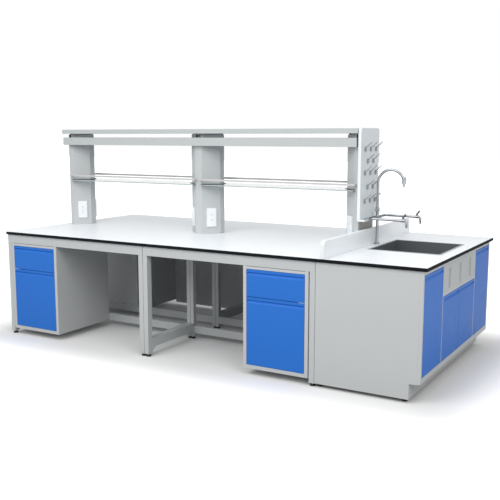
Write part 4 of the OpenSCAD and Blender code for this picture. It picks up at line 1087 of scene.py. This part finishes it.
@dataclass
class Sink:
    """Bowl, rim and drain.

    The drain's flange is given as radius and height of each ring, in millimetres from its top.
    """

    shop: Workshop
    wall: float = 8 * MM
    corner: float = 5 * MM
    bend: float = 8 * MM
    floor_rise: float = 3 * MM
    flat_inset: float = 40 * MM
    flat_rise: float = 2.6 * MM
    dish_radius: float = 45 * MM
    dish_rise: float = 0.3 * MM
    hole_radius: float = 25 * MM
    hole_rise: float = 0.1 * MM
    ring_start: float = 0.18
    foot_ease: float = 1.5 * MM
    foot_corner: float = 2 * MM
    rim_wide: float = 14 * MM
    rim_edge: float = 1.6 * MM
    rim_flare: float = 0.3
    pipe_bore: float = 22 * MM
    pipe_radius: float = 25 * MM
    pipe_root: float = 24.2 * MM
    pipe_turns: int = 14
    pipe_pitch: float = 4 * MM
    pipe_flank: float = 1.4 * MM
    neck: tuple[float, float] = (24 * MM, 70 * MM)
    flange: Rings = ((24.0, -3.0), (42.9, -3.0), (42.9, -2.0), (40.0, 0.0), (26.0, -0.6), (22.0, -2.4))
    bar_count: int = 5
    bar_span: float = 15 * MM
    bar_half: float = 1.5 * MM
    bar_heights: tuple[float, float] = (5 * MM, 2.6 * MM)
    bar_reach: float = 22.5 * MM
    bar_ease: float = 0.5 * MM

    def build(self) -> None:
        """Builds the bowl, the rim and the strainer."""
        self.bowl()
        self.rim()
        self.strainer()

    def bowl(self) -> None:
        """Bowl whose wall turns into the floor on a quarter circle and whose floor falls to the drain."""
        low, high = bounds_of("sink_bowl")
        centre, size = (low + high) / 2, (high - low)[:2]
        inner = size - 2 * self.wall
        floor = low[2] + self.wall
        angle = quarter(6)
        turn = floor + self.floor_rise + self.bend * (1 - np.sin(angle))
        insets = [0.0, *(self.bend * (1 - np.cos(angle))), self.flat_inset]
        levels = [high[2], *turn, floor + self.flat_rise]
        inside = [self.row(inner, i, self.corner, centre, z) for i, z in zip(insets, levels)]
        outside = [self.row(size, i, self.foot_corner, centre, z) for i, z in (
            (self.foot_ease, low[2]), (0.0, low[2] + self.foot_ease), (0.0, high[2]))]
        sides, drain = len(inside[0]), []
        for radius, z in ((self.dish_radius, floor + self.dish_rise),
                          (self.hole_radius, floor + self.hole_rise), (self.hole_radius, low[2])):
            ring = circle(radius, sides, self.ring_start) + centre[:2]
            drain.append(np.column_stack([ring, np.full(sides, z)]))
        shell = Shell("sink_bowl_bonded").grid(np.stack(outside + inside + drain), along=True, caps=False)
        self.shop.add(shell, "sink_bowl", self.shop.paint.bowl)

    @staticmethod
    def row(size: Array, inset: float, corner: float, centre: Array, z: float) -> Array:
        """Rounded outline of a size less an inset on each side, at one height."""
        outline = rounded_outline(size[0] - 2 * inset, size[1] - 2 * inset, corner, steps=9)
        return np.column_stack([outline + centre[:2], np.full(len(outline), z)])

    def rim(self) -> None:
        """Flat rim whose upper edges follow quarter circles, carried round the opening."""
        low, high = bounds_of("sink_rim")
        centre, size = (low + high) / 2, (high - low)[:2]
        wide, edge = self.rim_wide, self.rim_edge
        angle = quarter(4)
        insets = np.concatenate([edge * (1 - np.cos(angle)), wide - edge * (1 - np.cos(angle[::-1]))])
        levels = high[2] - edge + edge * np.concatenate([np.sin(angle), np.sin(angle[::-1])])
        corners = self.corner + wide * (1 - insets / wide) * self.rim_flare
        rows = [self.row(size, i, c, centre, z) for i, c, z in zip(insets, corners, levels)]
        rows.append(self.row(size, wide, self.corner, centre, low[2]))
        rows.append(self.row(size, 0.0, corners[0], centre, low[2]))
        shell = Shell("sink_rim_rounded").grid(np.stack(rows), along=True, caps=False)
        self.shop.add(shell, "sink_rim", self.shop.paint.rim)

    def strainer(self) -> None:
        """Drain flange with a strainer of bars, and its threaded tail."""
        low, high = bounds_of("sink_drain")
        at, top = ((low[0] + high[0]) / 2, (low[1] + high[1]) / 2, float(low[2])), float(high[2] - low[2])
        profile = [(self.pipe_bore, 0.0), (self.pipe_radius, 0.0)]
        for k in range(self.pipe_turns):
            z, flank = (k + 1) * self.pipe_pitch, self.pipe_flank
            profile += [(self.pipe_root, z), (self.pipe_radius, z + flank), (self.pipe_root, z + 2 * flank)]
        profile += [self.neck, *((r * MM, top + h * MM) for r, h in self.flange)]
        shell = Shell("sink_drain_turned").grid(turned(profile, at, sides=48), along=True, caps=False)
        under, over = (at[2] + top - height for height in self.bar_heights)
        for offset in np.linspace(-self.bar_span, self.bar_span, self.bar_count):
            reach, y = math.sqrt(self.bar_reach**2 - offset**2), at[1] + offset
            shell.grid(eased_block((at[0] - reach, y - self.bar_half, under),
                                   (at[0] + reach, y + self.bar_half, over), self.bar_ease, steps=2))
        self.shop.add(shell, "sink_drain", self.shop.paint.chrome)


@dataclass
class ReagentShelf:
    """Columns, outlets, beams, glass and the top shelf."""

    shop: Workshop
    column_ease: float = 1.5 * MM
    sheet_ease: float = 0.8 * MM
    cover_ease: float = 0.6 * MM
    clip_ease: float = 0.5 * MM
    columns: tuple[float, ...] = (-1.679, -0.321, 1.037)
    outlet_facets: tuple[tuple[int, int], ...] = ((0, 1), (1, -1), (1, 1), (2, -1))
    outlet_z: float = 0.9815
    outlet_out: float = 83 * MM
    outlet_deep: float = 82 * MM
    socket_rise: float = 19.5 * MM
    slot_at: tuple[float, float] = (6.3 * MM, 3.0 * MM)
    slot_half: tuple[float, float] = (1.1 * MM, 3.8 * MM)
    earth_at: float = -8.0 * MM
    earth_half: tuple[float, float] = (1.7 * MM, 1.7 * MM)
    shade_liner_depths: tuple[float, float] = (4.2 * MM, 10.3 * MM)
    notch_half: float = 29 * MM
    notch_y: float = 112 * MM
    notch_levels: tuple[float, float] = (1.602, 1.631)
    liner_half: float = 1 * MM
    liner_ease: float = 0.3 * MM

    def build(self) -> None:
        """Dresses and builds every piece of the reagent shelf."""
        paint = self.shop.paint
        columns = ["column_left", "column_middle", "column_right"]
        glass = ["glass_shelf_left", "glass_shelf_right"]
        self.shop.ease(columns, paint.column, self.column_ease, segments=3)
        self.shop.ease(["column_end_covers"], paint.cover, self.cover_ease)
        self.shop.ease(["top_shelf", "shelf_beams"], paint.shelf, self.sheet_ease)
        self.shop.ease(glass, paint.glass, self.cover_ease, upright=paint.glass_edge)
        self.shop.ease(["glass_clips"], paint.clip, self.clip_ease)
        self.shop.ease(["guard_rails"], paint.rail, self.sheet_ease)
        self.shop.ease(["outlet_plates"], paint.outlet, self.sheet_ease)
        self.outlet_shade_liners()
        self.notch_liners()

    def outlet_shade_liners(self) -> None:
        """Dark blocks at the bottom of the outlet slots: painted shade of the holes' depth.

        Each is a block in the outlet's own axes: along the plate, upwards and out of it. The outward
        axis halves the angle between X and Y, as the facet's does.
        """
        shell, up = Shell("outlet_slot_shade_liners"), np.array(UPWARDS)
        across, over = self.slot_at
        spots = [(-across, over, self.slot_half), (across, over, self.slot_half),
                 (0.0, self.earth_at, self.earth_half)]
        for column, side in self.outlet_facets:
            for row in (-1, 1):
                x = self.columns[column] + side * self.outlet_out
                centre = np.array([x, row * self.outlet_deep, self.outlet_z])
                out = np.array([side, row, 0.0]) / math.sqrt(2)
                along = np.array([-out[1], out[0], 0.0])
                for rise in (-self.socket_rise, self.socket_rise):
                    for u, v, (w, h) in spots:
                        middle = centre + along * u + up * (rise + v)
                        corners = ((-w, -h), (w, -h), (w, h), (-w, h))
                        shell.grid(np.array([[middle + out * d + along * a + up * b for a, b in corners]
                                             for d in self.shade_liner_depths]))
        self.shop.add(shell, "outlet_plates", self.shop.paint.slot)

    def notch_liners(self) -> None:
        """Plates that close the columns behind the notches of their noses."""
        shell, thin = Shell("column_notch_liners"), self.liner_half
        low, high = self.notch_levels
        for x in self.columns:
            left = max(x - self.notch_half, self.columns[0] + thin)
            right = min(x + self.notch_half, self.columns[-1] - thin)
            for y in (-self.notch_y, self.notch_y):
                ends = (left, y - thin, low), (right, y + thin, high)
                shell.grid(eased_block(*ends, self.liner_ease, steps=2))
        self.shop.add(shell, "column_end_covers", self.shop.paint.cover)


@dataclass
class DryingBoard:
    """Pegboard with its trough and pegs. Each row of pegs has a height and a count."""

    shop: Workshop
    board_ease: float = 1.6 * MM
    trough_ease: float = 0.5 * MM
    rows: tuple[tuple[float, int], ...] = ((1.166, 3), (1.264, 2), (1.364, 3), (1.447, 2), (1.530, 3))
    pitch: float = 100 * MM
    tilt: float = 42.0
    run: float = 46 * MM
    root_radius: float = 3.6 * MM
    tip_radius: float = 3.0 * MM
    tip_share: float = 0.4
    block: Point = (12 * MM, 16 * MM, 32 * MM)
    block_ease: float = 1.6 * MM
    block_corner: float = 3 * MM
    rod_from: Point = (6 * MM, 0.0, 8 * MM)

    def build(self) -> None:
        """Dresses the board and the trough and builds the pegs."""
        paint = self.shop.paint
        self.shop.ease(["pegboard"], paint.board, self.board_ease, segments=3)
        self.shop.ease(["drip_trough"], paint.board, self.trough_ease)
        self.pegs()

    def pegs(self) -> None:
        """Block and tapered rod of every peg.

        The rod's radius falls evenly along it, up to a domed tip.
        """
        face = float(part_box("pegs")[0][0])
        rise, tip = math.radians(self.tilt), self.tip_radius
        aim = np.array([math.cos(rise), 0.0, math.sin(rise)])
        straight = self.run / math.cos(rise) - tip * self.tip_share
        way, radii = domed(np.linspace(0.0, straight, 5), np.linspace(self.root_radius, tip, 5), 5)
        deep, wide, tall = self.block
        shell = Shell("drying_pegs")
        for z, count in self.rows:
            for y in (np.arange(count) - (count - 1) / 2) * self.pitch:
                low, high = (face, y - wide / 2, z - tall / 2), (face + deep, y + wide / 2, z + tall / 2)
                shell.grid(eased_block(low, high, self.block_ease, self.block_corner))
                root = np.array([face, y, z]) + np.array(self.rod_from)
                shell.grid(tube(root + way[:, None] * aim, radii, SIDEWAYS, sides=16))
        self.shop.add(shell, "pegs", self.shop.paint.peg)


class Profile:
    """Profiles of the tap's turned forms: radius and height of each ring in millimetres."""

    LOCK_NUT: Rings = ((15.0, -31.0), (16.0, -30.0), (16.0, -24.0), (15.0, -22.4))
    RISER: Rings = (
        (20.4, 0.0), (21.0, 0.8), (21.0, 3.4), (20.2, 5.2), (17.0, 6.6), (12.6, 7.2), (12.0, 9.0),
        (12.0, 15.0), (10.6, 16.6), (10.0, 18.0), (10.0, 176.0), (11.4, 178.0), (11.4, 183.0),
        (10.4, 184.6), (11.4, 187.0), (11.4, 208.0), (10.2, 210.6), (10.0, 213.0), (10.0, 228.0),
        (11.6, 229.4), (11.6, 233.0))
    COLLAR: Rings = ((13.4, 233.0), (14.6, 234.4), (14.6, 250.0), (13.6, 251.2), (13.6, 253.0),
                     (14.8, 254.2), (14.8, 262.6), (13.6, 265.0))
    TEE: Rings = ((10.6, 2.0), (11.6, 10.0), (11.6, 15.4), (10.4, 16.0))
    TEE_NUT: Rings = ((11.2, 15.8), (12.0, 16.6), (12.0, 21.2), (11.2, 22.0))
    BOSS: Rings = ((8.4, 6.0), (8.4, 17.0), (7.6, 17.8), (7.6, 19.4), (8.2, 20.2), (8.2, 24.0), (7.4, 25.0))
    ARM_NUT: Rings = ((9.6, 22.3), (10.2, 23.0), (10.2, 31.0), (9.4, 32.0))
    VALVE: Rings = ((9.4, -11.0), (11.0, -10.4), (12.0, -9.0), (12.0, -5.0), (11.2, -4.0), (11.2, 4.0),
                    (12.0, 5.0), (12.0, 9.0), (11.0, 10.4), (9.4, 11.0))
    BONNET: Rings = ((7.8, 0.0), (7.8, 11.4), (6.6, 11.9), (6.6, 12.6), (7.2, 13.0), (7.2, 14.0))
    NOZZLE_NUT: Rings = ((9.4, 14.0), (10.0, 14.8), (10.0, 23.2), (9.2, 24.0))
    NOZZLE: Rings = ((8.2, 23.0), (8.2, 26.0), (6.6, 27.0), (6.6, 29.0), (8.2, 29.6), (6.2, 35.6),
                     (7.6, 36.2), (5.6, 42.2), (6.8, 42.8), (5.0, 50.0), (3.4, 50.0), (3.4, 40.0))
    SWIVEL: Rings = ((8.0, -12.0), (8.0, 0.0), (10.0, 0.1), (10.4, 0.8), (10.4, 9.2), (9.8, 10.0))
    SET_SCREW: Rings = ((3.0, 0.0), (3.0, 3.0), (2.4, 3.5))
    OUTLET_NECK: Rings = ((9.6, 0.0), (12.0, 1.0), (13.0, 3.4), (13.0, 14.0))
    OUTLET_GRIP: Rings = ((13.0, 13.6), (13.2, 14.6), (13.2, 40.0), (12.4, 41.6))
    OUTLET_TIP: Rings = ((12.2, 41.0), (13.2, 42.8), (13.2, 47.6), (12.0, 50.0), (8.4, 50.4), (8.0, 52.0),
                         (8.0, 68.0), (7.2, 70.0), (6.5, 70.0), (6.5, 60.0))
    LEVER_HUB: Rings = ((5.0, -12.0), (5.0, 0.0), (7.8, 0.1), (8.5, 0.9), (8.5, 7.6), (7.2, 9.4), (4.4, 10.2))
    KNOB_SPIGOT: Rings = ((5.0, -12.0), (5.0, 0.0), (8.6, 0.1))
    KNOB: Rings = ((8.8, 0.0), (9.4, 1.0), (9.4, 11.0), (8.8, 12.8), (7.4, 14.0))


@dataclass
class Tap:
    """Laboratory tap: body, side arms, gooseneck, levers and knob.

    The closing radius and the shank's sizes are in millimetres, as the profiles are.
    """

    shop: Workshop
    x: float = 1.120
    y: float = 0.020
    top: float = 0.850
    closing: float = 0.3
    shank_core: float = 8.4
    shank_root: float = 9.2
    shank_crest: float = 10.0
    shank_end: float = -50.0
    shank_turns: int = 20
    shank_pitch: float = 2.4
    arm_z: float = 1.047
    arm_from: float = 22.3 * MM
    arm_radius: float = 8.8 * MM
    arm_bend: float = 25 * MM
    reach: float = 148 * MM
    run: float = 268 * MM
    valve: float = 243 * MM
    nozzle_bend: float = 14 * MM
    overlap: float = 2 * MM
    neck_z: float = 1.1153
    neck_radius: float = 9.5 * MM
    bend_z: float = 1.290
    bend: float = 95.5 * MM
    screw_z: float = 1.220
    screw_out: float = 8.5 * MM
    collar_z: float = 1.337
    lever_tilt: float = 38.0
    lever_length: float = 26 * MM
    lever_neck: float = 5.6 * MM
    lever_ball: float = 7.5 * MM
    lever_hub_drop: float = 4.7 * MM
    lever_rise: float = 0.3 * MM
    knob_z: float = 1.100
    knob_out: float = 25.3 * MM
    mark_from: Point = (-0.6 * MM, -14.0 * MM, 2 * MM)
    mark_size: Point = (1.2 * MM, 0.6 * MM, 4.6 * MM)
    mark_ease: float = 0.2 * MM

    def build(self) -> None:
        """Builds every piece of the tap."""
        self.body()
        self.arms()
        self.gooseneck()
        for node in ("near", "far"):
            self.lever(node)
        self.knob()

    def lathe(self, shell: Shell, rings: Rings, at: Point, axis: Axis = Axis.Z, **settings: object) -> None:
        """Adds a turned form, closed at both ends, with its profile in millimetres."""
        ends = [(self.closing, rings[0][1]), *rings, (self.closing, rings[-1][1])]
        shell.grid(turned([(r * MM, h * MM) for r, h in ends], at, axis, **settings))

    def shank(self) -> list[tuple[float, float]]:
        """Profile of the threaded shank: the thread's root and crest, turn by turn."""
        heights = [self.shank_end + 1.0 + self.shank_pitch * k for k in range(self.shank_turns)]
        thread = [ring for h in heights
                  for ring in ((self.shank_root, h), (self.shank_crest, h + self.shank_pitch / 2))]
        return [(self.shank_core, self.shank_end), *thread, (self.shank_root, -1.0)]

    def body(self) -> None:
        """Shank, lock nut, flange, riser, tee, knurled collar and boss."""
        shell, at = Shell("tap_body_turned"), (self.x, self.y, self.top)
        self.lathe(shell, self.shank(), at)
        self.lathe(shell, Profile.LOCK_NUT, at, sides=6)
        self.lathe(shell, Profile.RISER, at, sides=44)
        self.lathe(shell, Profile.COLLAR, at, sides=60, ripple=0.014, lobes=20)
        tee = (self.x, self.y, self.arm_z)
        for flip in (True, False):
            self.lathe(shell, Profile.TEE, tee, Axis.Y, flip=flip, sides=36)
            self.lathe(shell, Profile.TEE_NUT, tee, Axis.Y, flip=flip, sides=6)
        self.lathe(shell, Profile.BOSS, (self.x, self.y, self.knob_z), Axis.Y, flip=True, sides=32)
        self.shop.add(shell, "tap_body", self.shop.paint.chrome)

    def arms(self) -> None:
        """The two side arms with their valves, bonnets and barbed nozzles."""
        shell = Shell("tap_arms_bent")
        for side in (-1, 1):
            self.arm(shell, side)
        self.shop.add(shell, "tap_arms", self.shop.paint.chrome)

    def arm(self, shell: Shell, side: int) -> None:
        """One side arm.

        Its pipe is two tubes that overlap inside the valve: one level with a bend round to the
        front, and one that turns down into the nozzle.

        Args:
            shell: Shell to add to.
            side: -1 or 1 along Y.
        """
        x, y, z = self.x, self.y + side * self.reach, self.arm_z
        bend, drop = self.arm_bend, self.nozzle_bend
        start = [(x, self.y + side * self.arm_from, z), (x, y - side * (bend + self.overlap), z)]
        turn = arc_path((x + bend, y - side * bend, z), bend, (-1, 0, 0), (0, side, 0), sweep=90, steps=14)
        end = [(x + bend + self.overlap, y, z), (x + self.valve, y, z)]
        shell.grid(tube(np.concatenate([start, turn, end]), self.arm_radius, UPWARDS, sides=28))
        self.lathe(shell, Profile.ARM_NUT, (x, self.y, z), Axis.Y, flip=side < 0, sides=6)
        nozzle, valve = (x + self.run, y, z), (x + self.valve, y, z)
        fall = arc_path((nozzle[0] - drop, y, z - drop), drop, (0, 0, 1), (1, 0, 0), sweep=90, steps=12)
        back = [(valve[0] - self.overlap, y, z), (nozzle[0] - drop - 1 * MM, y, z)]
        tail = [(nozzle[0], y, z - drop - 1 * MM), (nozzle[0], y, z - drop - 4 * MM)]
        shell.grid(tube(np.concatenate([back, fall, tail]), self.arm_radius, SIDEWAYS, sides=28))
        self.lathe(shell, Profile.VALVE, valve, Axis.X, sides=40)
        self.lathe(shell, Profile.BONNET, valve, sides=32)
        self.lathe(shell, Profile.NOZZLE_NUT, nozzle, flip=True, sides=6)
        self.lathe(shell, Profile.NOZZLE, nozzle, flip=True, sides=32)

    def gooseneck(self) -> None:
        """Swivel ring, bent tube, set screw, knurled outlet collar and recessed tip."""
        shell, x, y = Shell("tap_gooseneck_bent"), self.x, self.y
        foot = [(x, y, self.neck_z), (x, y, self.bend_z - 2 * MM)]
        centre = (x + self.bend, y, self.bend_z)
        over = arc_path(centre, self.bend, (-1, 0, 0), (0, 0, 1), sweep=180, steps=48)
        shell.grid(tube(np.concatenate([foot, over]), self.neck_radius, SIDEWAYS, sides=36))
        self.lathe(shell, Profile.SWIVEL, (x, y, self.neck_z), sides=36)
        self.lathe(shell, Profile.SET_SCREW, (x + self.screw_out, y, self.screw_z), Axis.X, sides=20)
        collar = (x + 2 * self.bend, y, self.collar_z)
        self.lathe(shell, Profile.OUTLET_NECK, collar, flip=True, sides=44)
        self.lathe(shell, Profile.OUTLET_GRIP, collar, flip=True, sides=60, ripple=0.012, lobes=20)
        self.lathe(shell, Profile.OUTLET_TIP, collar, flip=True, sides=44)
        self.shop.add(shell, "tap_gooseneck", self.shop.paint.chrome)

    def lever(self, node: str) -> None:
        """A hub with a swelling handle and a domed end.

        The handle's radius grows with the square of the way along it, up to its dome.

        Args:
            node: The lever's own word in the names of its node and joint.
        """
        tilt, length = math.radians(self.lever_tilt), self.lever_length
        ball, neck = self.lever_ball, self.lever_neck
        aim = np.array([math.sin(tilt), 0.0, math.cos(tilt)])
        share = np.linspace(0.0, 1.0, 9)
        way, radii = domed(length * share, neck + (ball - neck) * share**2, 7)
        x, y, z = self.shop.joint(f"lever_{node}_turn")
        shell = Shell(f"tap_lever_{node}_turned")
        self.lathe(shell, Profile.LEVER_HUB, (x, y, z - self.lever_hub_drop), sides=36)
        middle = np.array([x, y, z + self.lever_rise])
        shell.grid(tube(middle + way[:, None] * aim, radii, SIDEWAYS, sides=28))
        self.shop.add(shell, f"tap_lever_{node}", self.shop.paint.lever)

    def knob(self) -> None:
        """The lobed knob with its spigot and index mark."""
        x, _, z = self.shop.joint("knob_turn")
        shell, face = Shell("tap_knob_lobed"), (x, self.y - self.knob_out, z)
        self.lathe(shell, Profile.KNOB_SPIGOT, face, Axis.Y, flip=True, sides=32)
        self.lathe(shell, Profile.KNOB, face, Axis.Y, flip=True, sides=72, ripple=0.05, lobes=12)
        mark = np.array(face) + np.array(self.mark_from)
        shell.grid(eased_block(mark, mark + np.array(self.mark_size), self.mark_ease), mark=1)
        self.shop.add(shell, "tap_knob", self.shop.paint.chrome, self.shop.paint.slot)


@dataclass(frozen=True)
class Lamp:
    """One square area lamp: its name, place, the point it faces, its side and its power in watts."""

    name: str
    at: Point
    towards: Point
    size: float
    power: float

    def build(self) -> None:
        """Adds the lamp, turned so that it faces its point."""
        data = bpy.data.lights.new(self.name, "AREA")
        data.size = self.size
        data.energy = self.power
        made = bpy.data.objects.new(self.name, data)
        made.location = self.at
        x, y, z = np.array(self.towards) - np.array(self.at)
        made.rotation_euler = Euler((math.atan2(math.hypot(x, y), -z), 0.0, math.atan2(y, x) - math.pi / 2))
        bpy.context.scene.collection.objects.link(made)


@dataclass
class Studio:
    """Camera, floor, background and lamps."""

    world_level: float = 0.5
    background: float = 1.0
    floor_half: float = 40.0
    floor_tone: float = 0.8
    floor_bounce: float = 0.34
    near_glow: float = 0.03
    glow_reach: float = 0.9
    footprint: tuple[float, float] = (1.74, 0.82)
    lamps: tuple[Lamp, ...] = (
        Lamp("overhead", (0.3, -0.6, 4.2), (0.3, 0.0, 0.8), 4.5, 52.0),
        Lamp("front", (-1.0, -4.8, 4.2), (0.0, 0.0, 0.7), 4.0, 156.0),
        Lamp("side", (4.6, -3.6, 3.8), (0.6, 0.0, 0.8), 3.0, 100.0))

    def build(self) -> None:
        """Builds the whole studio."""
        self.camera()
        self.floor()
        self.world()
        for lamp in self.lamps:
            lamp.build()
        bpy.context.scene.view_settings.view_transform = "Standard"

    def camera(self) -> None:
        """Camera at the measured place, looking down the measured angles."""
        data = bpy.data.cameras.new("camera")
        data.lens = CAMERA_LENS
        data.sensor_width = CAMERA_SENSOR
        data.clip_start, data.clip_end = CAMERA_CLIP
        camera = bpy.data.objects.new("camera", data)
        camera.location = CAMERA_AT
        camera.rotation_euler = Euler((math.radians(90 - CAMERA_PITCH), 0.0, math.radians(CAMERA_YAW)))
        bpy.context.scene.collection.objects.link(camera)
        bpy.context.scene.camera = camera

    def white_for_lens(self, graph: Graph) -> bpy.types.NodeSocket:
        """Mask of rays that should see the plain white background.

        Args:
            graph: Graph of the shader.

        Returns:
            Socket that is 1 for camera, glossy and transmission rays.
        """
        path = graph.node("ShaderNodeLightPath")
        mirrored = graph.maths("MAXIMUM", path.outputs["Is Glossy Ray"], path.outputs["Is Transmission Ray"])
        return graph.maths("MAXIMUM", path.outputs["Is Camera Ray"], mirrored)

    def floor(self) -> None:
        """Large pale floor that keeps the object's shadow."""
        half = self.floor_half
        mesh = bpy.data.meshes.new("floor")
        corners = [(-half, -half, 0.0), (half, -half, 0.0), (half, half, 0.0), (-half, half, 0.0)]
        mesh.from_pydata(corners, [], [[0, 1, 2, 3]])
        floor = bpy.data.objects.new("floor", mesh)
        bpy.context.scene.collection.objects.link(floor)
        material = bpy.data.materials.new("studio floor")
        material.use_nodes = True
        graph = Graph(material.node_tree)
        shader = material.node_tree.nodes["Principled BSDF"]
        fill(shader, {"Roughness": 1.0, "Specular IOR Level": 0.0})
        seen = self.white_for_lens(graph)
        tone = graph.ranged(seen, {"To Min": self.floor_bounce, "To Max": self.floor_tone})
        graph.link(tone, shader.inputs["Base Color"])
        glow = graph.node("ShaderNodeEmission", {"Color": WHITE})
        graph.link(graph.maths("MULTIPLY", seen, self.glow_by_distance(graph)), glow.inputs["Strength"])
        both = graph.node("ShaderNodeAddShader")
        graph.link(shader.outputs[0], both.inputs[0])
        graph.link(glow.outputs[0], both.inputs[1])
        graph.link(both.outputs[0], material.node_tree.nodes["Material Output"].inputs["Surface"])
        mesh.materials.append(material)

    def glow_by_distance(self, graph: Graph) -> bpy.types.NodeSocket:
        """Glow of the floor, low beside the bench and full further off.

        The distance is that of a point to the bench's footprint: the length of what the absolute
        coordinates exceed the half sizes by.

        Args:
            graph: Graph of the shader.

        Returns:
            Socket of the strength.
        """
        place = graph.node("ShaderNodeTexCoord")
        axes = graph.node("ShaderNodeSeparateXYZ")
        graph.link(place.outputs["Object"], axes.inputs[0])
        squares = []
        for axis, half in zip("XY", self.footprint):
            past = graph.maths("SUBTRACT", graph.maths("ABSOLUTE", axes.outputs[axis]), half)
            squares.append(graph.maths("POWER", graph.maths("MAXIMUM", past, 0.0), 2.0))
        away = graph.maths("SQRT", graph.maths("ADD", *squares))
        limits = {"From Min": 0.0, "From Max": self.glow_reach, "To Min": self.near_glow, "To Max": 1.0}
        return graph.ranged(away, limits, interpolation_type="SMOOTHSTEP")

    def world(self) -> None:
        """White for the lens, a softer level for the light on the object."""
        world = bpy.data.worlds.new("studio")
        bpy.context.scene.world = world
        world.use_nodes = True
        graph = Graph(world.node_tree)
        back = world.node_tree.nodes["Background"]
        back.inputs["Color"].default_value = WHITE
        limits = {"To Min": self.world_level, "To Max": self.background}
        graph.link(graph.ranged(self.white_for_lens(graph), limits), back.inputs["Strength"])


def main() -> None:
    """Builds the studio and every sub-assembly."""
    logging.basicConfig(level=logging.INFO, format="%(message)s")
    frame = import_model()
    Studio().build()
    shop = Workshop(frame)
    for part in (Worktops, Underframe, Cabinets, LouvrePanel, Sink, ReagentShelf, DryingBoard, Tap):
        LOG.info("building %s", part.__name__)
        part(shop).build()


if __name__ == "__main__":
    main()
